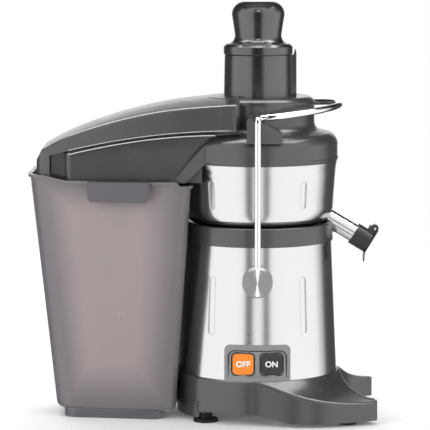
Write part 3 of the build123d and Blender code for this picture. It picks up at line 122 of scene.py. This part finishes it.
def object_pattern(tree, scale, stretch=(1.0, 1.0, 1.0), detail=3.0, roughness=0.5):
    """Noise on object coordinates, stretched along the axes."""
    place = add_node(tree, "ShaderNodeTexCoord")
    spread = add_node(tree, "ShaderNodeMapping")
    spread.inputs["Scale"].default_value = stretch
    noise = add_node(tree, "ShaderNodeTexNoise")
    noise.inputs["Scale"].default_value = scale
    noise.inputs["Detail"].default_value = detail
    noise.inputs["Roughness"].default_value = roughness
    tree.links.new(place.outputs["Object"], spread.inputs["Vector"])
    tree.links.new(spread.outputs["Vector"], noise.inputs["Vector"])
    return noise.outputs["Fac"]


def mixed_colour(tree, factor, first, second):
    """Colour between two, each a socket or three numbers."""
    node = add_node(tree, "ShaderNodeMix", data_type="RGBA")
    tree.links.new(factor, node.inputs[0])
    # A Mix node's sockets 6, 7 and its output 2 are the ones for colours
    for index, colour in ((6, first), (7, second)):
        if isinstance(colour, tuple):
            node.inputs[index].default_value = (*colour, 1.0)
        else:
            tree.links.new(colour, node.inputs[index])
    return node.outputs[2]


def tinted(colour, share):
    """Colour made darker or lighter by a share."""
    return tuple(min(1.0, value * share) for value in colour)


def add_bump(tree, shader, height, strength, distance, edge=0.0):
    """Bump from a pattern and softly broken edges, distances in metres."""
    node = add_node(tree, "ShaderNodeBump")
    if edge > 0.0:
        rounding = add_node(tree, "ShaderNodeBevel", samples=6)
        rounding.inputs["Radius"].default_value = edge
        tree.links.new(rounding.outputs["Normal"], node.inputs["Normal"])
    node.inputs["Strength"].default_value = strength
    node.inputs["Distance"].default_value = distance
    tree.links.new(height, node.inputs["Height"])
    tree.links.new(node.outputs["Normal"], shader.inputs["Normal"])


# Finishes

def moulded_plastic(name, colour, roughness, grain=0.25, coat=0.0, gleam=0.5, edge=MOULDED_EDGE):
    """Moulded plastic: fine spark-eroded grain, slight cloudiness and gloss variation."""
    material, tree, shader = new_material(name)
    cloud = object_pattern(tree, 14.0, detail=2.0)
    shades = mixed_colour(tree, cloud, tinted(colour, 0.93), tinted(colour, 1.07))
    tree.links.new(shades, shader.inputs["Base Color"])
    gloss = object_pattern(tree, 55.0, detail=4.0)
    rough = spread_pattern(tree, gloss, roughness - 0.03, roughness + 0.04)
    tree.links.new(rough, shader.inputs["Roughness"])
    fine = object_pattern(tree, 2600.0, detail=1.0)
    add_bump(tree, shader, fine, grain, 0.06 * MM, edge)
    shader.inputs["Specular IOR Level"].default_value = gleam
    shader.inputs["Coat Weight"].default_value = coat
    shader.inputs["Coat Roughness"].default_value = 0.12
    return material


def brushed_steel(name, colour, roughness, stretch, anisotropy, axis="Z", turn=0.0):
    """Spun stainless steel: brush lines round an axis and a highlight stretched by them."""
    material, tree, shader = new_material(name)
    lines = object_pattern(tree, 60.0, stretch=stretch, detail=6.0, roughness=0.7)
    shades = mixed_colour(tree, lines, tinted(colour, 0.93), colour)
    tree.links.new(shades, shader.inputs["Base Color"])
    rough = spread_pattern(tree, lines, roughness - 0.05, roughness + 0.05)
    tree.links.new(rough, shader.inputs["Roughness"])
    shader.inputs["Metallic"].default_value = 1.0
    shader.inputs["Anisotropic"].default_value = anisotropy
    tangent = add_node(tree, "ShaderNodeTangent", direction_type="RADIAL", axis=axis)
    tree.links.new(tangent.outputs["Tangent"], shader.inputs["Tangent"])
    shader.inputs["Anisotropic Rotation"].default_value = turn
    add_bump(tree, shader, lines, 0.12, 0.04 * MM, MOULDED_EDGE)
    return material


def plain_metal(name, colour, roughness):
    """Turned or cast metal with faint tool marks."""
    material, tree, shader = new_material(name)
    marks = object_pattern(tree, 320.0, stretch=(1.0, 1.0, 3.0), detail=4.0)
    shades = mixed_colour(tree, marks, tinted(colour, 0.85), colour)
    tree.links.new(shades, shader.inputs["Base Color"])
    rough = spread_pattern(tree, marks, roughness - 0.05, roughness + 0.08)
    tree.links.new(rough, shader.inputs["Roughness"])
    shader.inputs["Metallic"].default_value = 1.0
    add_bump(tree, shader, marks, 0.1, 0.05 * MM)
    return material


def matt_rubber(name, colour):
    """Moulded rubber with a dusty, uneven surface."""
    material, tree, shader = new_material(name)
    dust = object_pattern(tree, 240.0, detail=5.0)
    dusty = tuple(value * 1.6 + 0.002 for value in colour)
    tree.links.new(mixed_colour(tree, dust, colour, dusty), shader.inputs["Base Color"])
    tree.links.new(spread_pattern(tree, dust, 0.55, 0.75), shader.inputs["Roughness"])
    shader.inputs["Specular IOR Level"].default_value = 0.25
    add_bump(tree, shader, dust, 0.3, 0.1 * MM)
    return material


def smoked_plastic_with_painted_shade(name):
    """Smoked plastic of the bin with painted shade: warm on the broad walls, painted cool and dark
    where the wall turns away or ends.
    """
    # The cool colour is painted shade, laid where the wall turns away and at its top and bottom
    warm_wall, painted_shade_colour = (0.30, 0.25, 0.25), (0.135, 0.125, 0.14)
    grip_and_plinth = (0.10, 0.093, 0.108)
    material, tree, shader = new_material(name)
    place = add_node(tree, "ShaderNodeTexCoord")
    parts = add_node(tree, "ShaderNodeSeparateXYZ")
    tree.links.new(place.outputs["Object"], parts.inputs[0])
    x, y, z = (parts.outputs[axis] for axis in "XYZ")

    # The side walls lean outwards, so their distance depends on the height
    low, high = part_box("pulp_bin")
    far_foot, near_foot = low[0] + 0.036, high[0] - 0.022
    far_lean, near_lean = 0.116, 0.07
    far_side = maths(tree, "SUBTRACT", far_foot, maths(tree, "MULTIPLY", z, far_lean))
    near_side = maths(tree, "ADD", near_foot, maths(tree, "MULTIPLY", z, near_lean))
    from_far = maths(tree, "SUBTRACT", x, far_side)
    from_near = maths(tree, "SUBTRACT", near_side, x)

    # The painted shade darkens the wall over these distances from its sides and at these heights
    far_fade, near_fade = (0.004, 0.05), (0.002, 0.06)
    bottom_fade, top_fade, top_shade = (0.008, 0.075), (0.255, 0.289), 0.75
    sides = maths(
        tree, "MAXIMUM",
        smooth_ramp(tree, from_far, *far_fade, 1.0, 0.0),
        smooth_ramp(tree, from_near, *near_fade, 1.0, 0.0),
    )
    ends = maths(
        tree, "MAXIMUM",
        smooth_ramp(tree, z, *top_fade, 0.0, top_shade),
        smooth_ramp(tree, z, *bottom_fade, 1.0, 0.0),
    )
    dark = maths(tree, "MAXIMUM", sides, ends)
    # Painted shade, with a random cloudiness added, picks the wall colour between warm and cool
    cloud = object_pattern(tree, 7.0, detail=2.0)
    uneven = maths(tree, "MULTIPLY", maths(tree, "SUBTRACT", cloud, 0.5), 0.3)
    shade = maths(tree, "ADD", dark, uneven, clamp=True)
    wall = mixed_colour(tree, shade, warm_wall, painted_shade_colour)

    # The grips stand past a line that follows the front and back walls
    wall_lean, grip_start, plinth_top = 0.149, (0.0985, 0.0995), (0.009, 0.0105)
    outside = maths(tree, "ABSOLUTE", y)
    grip_line = maths(tree, "SUBTRACT", outside, maths(tree, "MULTIPLY", x, wall_lean))
    grips = smooth_ramp(tree, grip_line, *grip_start)
    plinth = smooth_ramp(tree, z, *plinth_top, 1.0, 0.0)
    trim = maths(tree, "MAXIMUM", grips, plinth)
    tree.links.new(mixed_colour(tree, trim, wall, grip_and_plinth), shader.inputs["Base Color"])
    gloss = object_pattern(tree, 40.0, detail=3.0)
    tree.links.new(spread_pattern(tree, gloss, 0.2, 0.28), shader.inputs["Roughness"])
    shader.inputs["Alpha"].default_value = 0.9
    fine = object_pattern(tree, 1500.0, detail=1.0)
    add_bump(tree, shader, fine, 0.12, 0.05 * MM)
    return material


# Brush lines are long round the shaft, or round the axis of the clamp knobs
ROUND_SHAFT = (0.6, 0.6, 60.0)
ROUND_KNOB = (60.0, 0.6, 60.0)

satin_black = moulded_plastic(
    "satin_black_plastic", (0.044, 0.044, 0.0445), 0.24, grain=0.12, gleam=0.7)
gloss_black = moulded_plastic(
    "plunger_plastic", (0.009, 0.009, 0.0093), 0.27, grain=0.05, coat=0.55, gleam=1.0)
nozzle_black = moulded_plastic("nozzle_plastic", (0.014, 0.014, 0.0143), 0.3, grain=0.1)
panel_grey = moulded_plastic("panel_grey_plastic", (0.205, 0.205, 0.207), 0.42, edge=0.2 * MM)
off_orange = moulded_plastic(
    "off_orange_plastic", (0.82, 0.225, 0.018), 0.36, grain=0.1, gleam=0.4)
on_black = moulded_plastic("on_black_plastic", (0.026, 0.026, 0.027), 0.36, grain=0.1, gleam=0.4)
hub_white = moulded_plastic("hub_plastic", (0.62, 0.62, 0.6), 0.4)
steel = brushed_steel("spun_steel", (0.6, 0.6, 0.604), 0.16, ROUND_SHAFT, 0.6)
knob_steel = brushed_steel(
    "knob_steel", (0.3, 0.3, 0.303), 0.34, ROUND_KNOB, 0.97, axis="Y", turn=0.25)
chrome_rod = plain_metal("chrome_rod", (0.75, 0.75, 0.755), 0.05)
turned_steel = plain_metal("turned_steel", (0.6, 0.6, 0.61), 0.3)
core_sheets = plain_metal("core_sheets", (0.28, 0.28, 0.29), 0.45)
cast_alloy = plain_metal("cast_alloy", (0.62, 0.62, 0.63), 0.5)
copper = plain_metal("copper_wire", (0.75, 0.36, 0.16), 0.35)
foot_rubber = matt_rubber("foot_rubber", (0.003, 0.003, 0.003))
# Smoked plastic of the bin, with painted shade towards its sides, top and bottom
smoked_bin = smoked_plastic_with_painted_shade("smoked_bin_painted_shade")
word_white = moulded_plastic("word_white_print", (0.86, 0.86, 0.86), 0.45, grain=0.1)
bead_black = moulded_plastic(
    "bead_black", (0.06, 0.06, 0.0605), 0.16, grain=0.05, gleam=0.9, edge=0.0)
# Near-black strips that stand in for the shade in the gaps round the keys and in the panel's
# groove: painted shade
gap_shade_black = matt_rubber("gap_shade_black", (0.006, 0.006, 0.006))

finishes = {
    satin_black: ["base_housing", "seat_ring", "lid", "pulp_hood", "base_cover", "switch_blocks",
                  "cooling_fan"],
    nozzle_black: ["nozzle_cap", "drip_flap"],
    gloss_black: ["plunger_body", "plunger_knob", "feed_tube"],
    panel_grey: ["switch_panel"],
    off_orange: ["off_button"],
    on_black: ["on_button"],
    hub_white: ["drive_hub", "basket_nut", "pivot_bushes", "capacitor"],
    steel: ["motor_housing", "juice_bowl", "spout_tube", "filter_basket", "grater_disc"],
    knob_steel: ["clamp_knobs"],
    chrome_rod: ["clamp_arm"],
    turned_steel: ["cover_screws", "ring_screws", "motor_bolts", "pivot_studs", "flap_pin",
                   "motor_shaft", "lower_bearing", "upper_bearing", "stator_sleeve"],
    core_sheets: ["stator_core", "rotor"],
    cast_alloy: ["motor_plate", "lower_bracket", "upper_bracket"],
    copper: ["windings"],
    foot_rubber: ["rubber_feet", "cord_gland", "shaft_seal", "lid_seal"],
    smoked_bin: ["pulp_bin", "bin_grips"],
}
for material, names in finishes.items():
    for name in names:
        slots = nodes[name].data.materials
        slots.clear()
        slots.append(material)


# Lettering on the two keys

LETTER_HEIGHT = 6.8 * MM
# A capital letter is this share of the font's size
CAPITAL_SHARE = 0.7


def key_word(word, node):
    """Raised white word on the face of a key."""
    low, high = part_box(node)
    sink = 0.05 * MM
    data = bpy.data.curves.new(word.lower() + "_word", "FONT")
    data.body = word
    data.size = LETTER_HEIGHT / CAPITAL_SHARE
    data.align_x = "CENTER"
    data.align_y = "CENTER"
    data.extrude = 0.12 * MM
    data.offset = 0.3 * MM
    flat = bpy.data.objects.new("word", data)
    bpy.context.collection.objects.link(flat)
    graph = bpy.context.evaluated_depsgraph_get()
    mesh = bpy.data.meshes.new_from_object(flat.evaluated_get(graph))
    bpy.data.objects.remove(flat)
    middle = Vector(((low[0] + high[0]) / 2, low[1] - sink, (low[2] + high[2]) / 2))
    mesh.transform(Matrix.Translation(middle) @ Matrix.Rotation(radians(90), 4, "X"))
    piece = bpy.data.objects.new(word.lower() + "_word", mesh)
    bpy.context.collection.objects.link(piece)
    mesh.materials.append(word_white)
    return piece


off_word = key_word("OFF", "off_button")
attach(off_word, "off_key")
on_word = key_word("ON", "on_button")
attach(on_word, "on_key")


# Trims on the moulded faces

BACKWARDS = Vector((0.0, 1.0, 0.0))
DOWNWARDS = Vector((0.0, 0.0, -1.0))


def face_hit(name, start, direction):
    """Place where a line first meets a CAD piece, or None."""
    node = nodes[name]
    into = node.matrix_world.inverted()
    hit, place, _, _ = node.ray_cast(into @ start, into.to_3x3() @ direction)
    return node.matrix_world @ place if hit else None


def face_depth(names, x, z):
    """Depth of the first of the named surfaces met from the front, or None."""
    before_all = -0.3
    hits = [face_hit(name, Vector((x, before_all, z)), BACKWARDS) for name in names]
    return min((hit.y for hit in hits if hit), default=None)


def face_edge(names, x, inner, outer, slack):
    """Height between two others at which the face met from the front ends."""
    halvings = 12
    face = face_depth(names, x, inner)
    for _ in range(halvings):
        middle = (inner + outer) / 2
        depth = face_depth(names, x, middle)
        if depth is not None and depth < face + slack:
            inner = middle
        else:
            outer = middle
    return inner


def evened(depths):
    """Depths with single outliers and steps smoothed along a line."""
    passes = 4
    last = len(depths) - 1
    for _ in range(passes):
        wide = []
        for index in range(last + 1):
            spots = [min(last, max(0, index + step)) for step in (-2, -1, 0, 1, 2)]
            near = sorted(depths[spot] for spot in spots)
            wide.append(sum(near[1:4]) / 3)
        depths = wide
    return depths


def ribbon(name, line, radius, material, sides=8, closed=False, roots=None):
    """Fine bead along a line in space, its back drawn out by roots to meet a deeper face."""
    corners, faces = [], []
    count = len(line)
    for index, spot in enumerate(line):
        before = line[(index - 1) % count if closed else max(0, index - 1)]
        after = line[(index + 1) % count if closed else min(count - 1, index + 1)]
        along = (after - before).normalized()
        across = along.cross(BACKWARDS).normalized()
        out = across.cross(along)
        for side in range(sides):
            angle = 2 * pi * side / sides
            corner = spot + radius * (cos(angle) * across + sin(angle) * out)
            if roots and corner.y > spot.y + radius / 2:
                corner.y += roots[index]
            corners.append(corner)
    for index in range(count if closed else count - 1):
        here, then = index * sides, (index + 1) % count * sides
        for side in range(sides):
            next_side = (side + 1) % sides
            faces.append((here + side, here + next_side, then + next_side, then + side))
    if not closed:
        faces.append(tuple(range(sides)))
        faces.append(tuple(range((count - 1) * sides, count * sides)))
    mesh = bpy.data.meshes.new(name)
    mesh.from_pydata([tuple(corner) for corner in corners], [], faces)
    outward = bmesh.new()
    outward.from_mesh(mesh)
    bmesh.ops.recalc_face_normals(outward, faces=outward.faces)
    outward.to_mesh(mesh)
    outward.free()
    for polygon in mesh.polygons:
        polygon.use_smooth = sides > 4 and len(polygon.vertices) == 4
    piece = bpy.data.objects.new(name, mesh)
    bpy.context.collection.objects.link(piece)
    mesh.materials.append(material)
    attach(piece, "root")


def bead(name, points, radius, names, material, sides=8, closed=False):
    """Bead along a line of x and z values, laid on the named surfaces."""
    found = [(x, face_depth(names, x, z), z) for x, z in points]
    found = [spot for spot in found if spot[1] is not None]
    depths = [depth for _, depth, _ in found]
    if not closed:
        depths = evened(depths)
    line = [Vector((x, depth, z)) for (x, _, z), depth in zip(found, depths)]
    ribbon(name, line, radius, material, sides, closed)


def on_machine(points):
    """Points in millimetres from the shaft as metres in the frame."""
    return [(SHAFT_X + x * MM, z * MM) for x, z in points]


# The hood: lines along its ridge, under its band and on the ledge below that

HOOD = ("pulp_hood", "lid")
STEP_DEPTH = 1.2 * MM
RIDGE_START, RIDGE_END, HOOD_STEP = -250, -26, 4
BAND_START, LEDGE_END = -229, -46


def band_middle(x):
    """Height of the middle of the hood's arched band, x and height in millimetres."""
    far_end, length = -228, 189
    far_height, rise, bulge = 334, 30, 32
    share = (x - far_end) / length
    return far_height + rise * share + bulge * share * (1 - share)


def hood_lines():
    """Upper and lower edge of the band, in millimetres from the shaft."""
    reach, inset = 22, 0.4
    ridge, band = [], []
    for x in range(RIDGE_START, RIDGE_END + 1, HOOD_STEP):
        middle = band_middle(x)
        spot = SHAFT_X + x * MM
        upper = face_edge(HOOD, spot, middle * MM, (middle + reach) * MM, STEP_DEPTH)
        ridge.append((x, upper / MM))
        if x > BAND_START:
            lower = face_edge(HOOD, spot, middle * MM, (middle - reach) * MM, STEP_DEPTH)
            band.append((x, lower / MM + inset))
    return ridge, band


def ledge_drop(x):
    """How far the ledge lies below the band, least at the middle of the hood."""
    least, growth, middle, half_length = 4.6, 0.6, -130, 90
    return least + growth * abs((x - middle) / half_length)


def lay_ledge(band):
    """Bead on the ledge, rooted in the recessed face behind it."""
    stand_off, band_rise = 0.4 * MM, 14 * MM
    path = on_machine([(x, z - ledge_drop(x)) for x, z in band if x < LEDGE_END])
    fronts = evened([face_depth(HOOD, x, z + band_rise) - stand_off for x, z in path])
    backs = evened([face_depth(HOOD, x, z) for x, z in path])
    line = [Vector((x, front, z)) for (x, z), front in zip(path, fronts)]
    roots = [max(0.0, back - front) for front, back in zip(fronts, backs)]
    ribbon("ledge_bead", line, 1.1 * MM, bead_black, sides=4, roots=roots)


ridge_line, band_line = hood_lines()
bead("ridge_bead", on_machine(ridge_line), 1.1 * MM, HOOD, bead_black, sides=4)
bead("band_bead", on_machine(band_line), 0.7 * MM, HOOD, bead_black, sides=4)
lay_ledge(band_line)
end_x, end_top = ridge_line[-1]
end_fall = band_line[-1][1] - end_top
end_line = [(end_x, end_top + end_fall * step / 12) for step in range(13)]
bead("band_end_bead", on_machine(end_line), 0.7 * MM, HOOD, bead_black, sides=4)


# The base: a bead round the notch that a jug stands in

def lay_notch():
    """Bead on the top of the base along the rounded notch between its toes."""
    centre_x, radius = SHAFT_X + 0.1816, 0.0826
    above, lowest = 0.1, 0.02
    line = []
    for degrees in range(120, 241, 3):
        angle = radians(degrees)
        over = Vector((centre_x + radius * cos(angle), radius * sin(angle), above))
        top = face_hit("base_housing", over, DOWNWARDS)
        if top and top.z > lowest:
            line.append(top)
    ribbon("notch_bead", line, 1.3 * MM, bead_black)


lay_notch()


# The switch panel: dark strips of painted shade in the gaps round the keys and along a groove
# arched over them

PANEL = ("switch_panel",)
GAP_SHADE_RADIUS = 0.6 * MM


def corner_points(centre_x, centre_z, radius, start, steps, swing=90):
    """Points on a round corner, from a start angle in degrees over a swing."""
    angles = [radians(start + swing * step / steps) for step in range(steps + 1)]
    return [(centre_x + radius * cos(angle), centre_z + radius * sin(angle)) for angle in angles]


def lay_key_gap_shade(key):
    """Dark strip round one key, painted shade of the gap round it."""
    gap, corner = 1.2 * MM, 5.2 * MM
    low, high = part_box(key)
    half_width = (high[0] - low[0]) / 2 + gap - corner
    half_height = (high[2] - low[2]) / 2 + gap - corner
    middle_x, middle_z = (low[0] + high[0]) / 2, (low[2] + high[2]) / 2
    ring = []
    for turn, (side, rise) in enumerate(((1, 1), (-1, 1), (-1, -1), (1, -1))):
        ring += corner_points(
            middle_x + side * half_width, middle_z + rise * half_height, corner, 90 * turn, 6)
    bead(key + "_seal", ring, GAP_SHADE_RADIUS, PANEL, gap_shade_black, closed=True)


def lay_panel_line():
    """Dark line up the sides of the panel and over both keys, painted shade of a groove."""
    corner, foot = 8 * MM, 4 * MM
    low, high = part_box("switch_panel")
    half_width = (high[0] - low[0]) / 2 - 4.2 * MM
    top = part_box("off_button")[1][2] + 3.4 * MM
    half = [(-half_width, low[2] + foot)]
    half += corner_points(corner - half_width, top - corner, corner, 180, 6, swing=-90)
    half += [(half[-1][0] * (1 - step / 12), top) for step in range(1, 13)]
    arch = half + [(-x, z) for x, z in reversed(half[:-1])]
    bead("panel_line", [(SHAFT_X + x, z) for x, z in arch], GAP_SHADE_RADIUS, PANEL, gap_shade_black)


lay_key_gap_shade("off_button")
lay_key_gap_shade("on_button")
lay_panel_line()


# Studio

WHITE = (1.0, 1.0, 1.0)


def stage_mesh(name, corners, faces, material):
    """Mesh object that belongs to the studio."""
    mesh = bpy.data.meshes.new(name)
    mesh.from_pydata(corners, [], faces)
    mesh.materials.append(material)
    piece = bpy.data.objects.new(name, mesh)
    bpy.context.collection.objects.link(piece)
    return piece


def studio_floor():
    """Floor that is white in the open and keeps the soft shadow of the machine."""
    reach = 1.5
    shadow_reach, white_from, least_glow = 0.33, 0.8, 0.06
    material, tree, shader = new_material("studio_white")
    shader.inputs["Base Color"].default_value = (0.9, 0.9, 0.9, 1.0)
    shader.inputs["Roughness"].default_value = 0.9
    shader.inputs["Specular IOR Level"].default_value = 0.0
    glow = add_node(tree, "ShaderNodeEmission")
    glow.inputs["Strength"].default_value = 1.15
    place = add_node(tree, "ShaderNodeTexCoord")
    length = add_node(tree, "ShaderNodeVectorMath", operation="LENGTH")
    tree.links.new(place.outputs["Object"], length.inputs[0])
    away = smooth_ramp(tree, length.outputs["Value"], shadow_reach, white_from, least_glow, 1.0)
    path = add_node(tree, "ShaderNodeLightPath")
    part = maths(tree, "MULTIPLY", away, path.outputs["Is Camera Ray"])
    mix = add_node(tree, "ShaderNodeMixShader")
    tree.links.new(part, mix.inputs["Fac"])
    tree.links.new(shader.outputs[0], mix.inputs[1])
    tree.links.new(glow.outputs[0], mix.inputs[2])
    tree.links.new(mix.outputs[0], tree.nodes["Material Output"].inputs["Surface"])
    corners = [(-reach, -reach, 0), (reach, -reach, 0), (reach, reach, 0), (-reach, reach, 0)]
    floor = stage_mesh("studio_floor", corners, [(0, 1, 2, 3)], material)
    floor.visible_glossy = False


def dark_cards():
    """Dark cards before and above the plunger, which only shiny surfaces show."""
    left, right = SHAFT_X - 0.066, SHAFT_X + 0.05
    front, low, high = -0.2, 0.385, 0.72
    near, far, top = -0.045, 0.05, 0.535
    corners = [
        (left, front, low), (right, front, low), (right, front, high), (left, front, high),
        (left, near, top), (right, near, top), (right, far, top), (left, far, top),
    ]
    material, _, shader = new_material("card_black")
    shader.inputs["Base Color"].default_value = (0.01, 0.01, 0.01, 1.0)
    shader.inputs["Specular IOR Level"].default_value = 0.0
    cards = stage_mesh("dark_cards", corners, [(0, 1, 2, 3), (4, 5, 6, 7)], material)
    cards.visible_camera = False
    cards.visible_diffuse = False
    cards.visible_shadow = False
    cards.visible_transmission = False


def room_shade(tree, direction):
    """Shade of the room by direction: dark screens round it, and dimmer high up behind."""
    east, north, up = (direction[axis] for axis in "XYZ")
    angle = maths(tree, "ARCTAN2", east, maths(tree, "MULTIPLY", north, -1.0))
    share = map_range(tree, angle, -pi, pi)
    ramp = add_node(tree, "ShaderNodeValToRGB")
    ramp.color_ramp.interpolation = "EASE"
    # Degrees from the front, and the shade of the room there
    bands = (
        (-180, 0.95), (-166, 0.9), (-158, 0.07), (-104, 0.08), (-92, 0.95), (-20, 0.95),
        (-16.5, 0.06), (-8.5, 0.06), (-6, 0.92), (7, 0.92), (9.5, 0.08), (15.5, 0.1),
        (20, 0.95), (96, 0.95), (112, 0.5), (120, 0.06), (160, 0.05), (168, 0.9), (180, 0.95),
    )
    stops = ramp.color_ramp.elements
    while len(stops) < len(bands):
        stops.new(0.5)
    for stop, (degrees, shade) in zip(stops, bands):
        stop.position = (degrees + 180) / 360
        stop.color = (shade, shade, shade, 1.0)
    tree.links.new(share, ramp.inputs["Fac"])
    most_dimmed = 0.7
    high = smooth_ramp(tree, up, 0.14, 0.34, 0.0, most_dimmed)
    behind = smooth_ramp(tree, north, -0.1, 0.1)
    upper = maths(tree, "SUBTRACT", 1.0, maths(tree, "MULTIPLY", high, behind))
    dimmed = add_node(tree, "ShaderNodeVectorMath", operation="SCALE")
    tree.links.new(ramp.outputs["Color"], dimmed.inputs[0])
    tree.links.new(upper, dimmed.inputs["Scale"])
    return dimmed.outputs["Vector"]


def studio_world():
    """White room whose dark screens only shiny surfaces show."""
    light_level, white_level, glossy_level = 0.55, 1.0, 1.62
    world = bpy.data.worlds.new("studio_world")
    bpy.context.scene.world = world
    world.use_nodes = True
    tree = world.node_tree
    background = tree.nodes["Background"]
    place = add_node(tree, "ShaderNodeTexCoord")
    parts = add_node(tree, "ShaderNodeSeparateXYZ")
    tree.links.new(place.outputs["Generated"], parts.inputs[0])
    path = add_node(tree, "ShaderNodeLightPath")
    glossy_ray, camera_ray = path.outputs["Is Glossy Ray"], path.outputs["Is Camera Ray"]
    shown = mixed_colour(tree, glossy_ray, WHITE, room_shade(tree, parts.outputs))
    tree.links.new(shown, background.inputs["Color"])
    level = map_range(tree, camera_ray, 0.0, 1.0, light_level, white_level)
    glossy = maths(tree, "MULTIPLY", glossy_ray, glossy_level)
    tree.links.new(maths(tree, "MAXIMUM", level, glossy), background.inputs["Strength"])


def soft_lamp(name, place, size, power, target=(0.0, 0.0, 0.25)):
    """Soft box that looks at one place and lights it without showing in shiny surfaces."""
    data = bpy.data.lights.new(name, "AREA")
    data.shape = "RECTANGLE"
    data.size, data.size_y = size
    data.energy = power
    lamp = bpy.data.objects.new(name, data)
    lamp.location = place
    lamp.visible_glossy = False
    aim = Vector(target) - lamp.location
    lamp.rotation_euler = aim.to_track_quat("-Z", "Y").to_euler()
    bpy.context.collection.objects.link(lamp)
    return lamp


def glint_lamp(name, place, size, power, **aimed):
    """Soft box that only shiny surfaces show."""
    lamp = soft_lamp(name, place, size, power, **aimed)
    lamp.visible_glossy = True
    lamp.visible_diffuse = False
    return lamp


studio_floor()
dark_cards()
studio_world()
soft_lamp("left_box", (-1.85, -1.4, 0.9), (1.8, 2.0), 34)
soft_lamp("right_box", (1.8, -1.2, 0.9), (1.8, 2.0), 27)
soft_lamp("top_box", (-0.2, 0.9, 2.2), (2.0, 1.4), 34)
glint_lamp("overhead", (0.0, -0.1, 2.3), (3.4, 1.3), 95)
glint_lamp("window", (SHAFT_X + 0.002, -0.19, 0.61), (0.014, 0.018), 0.06)
knob_lamp = glint_lamp(
    "knob_lamp", (SHAFT_X, -0.31, 0.31), (0.028, 0.03), 0.013, target=(SHAFT_X, -0.12, 0.174))
knob_lamp.data.spread = radians(24)
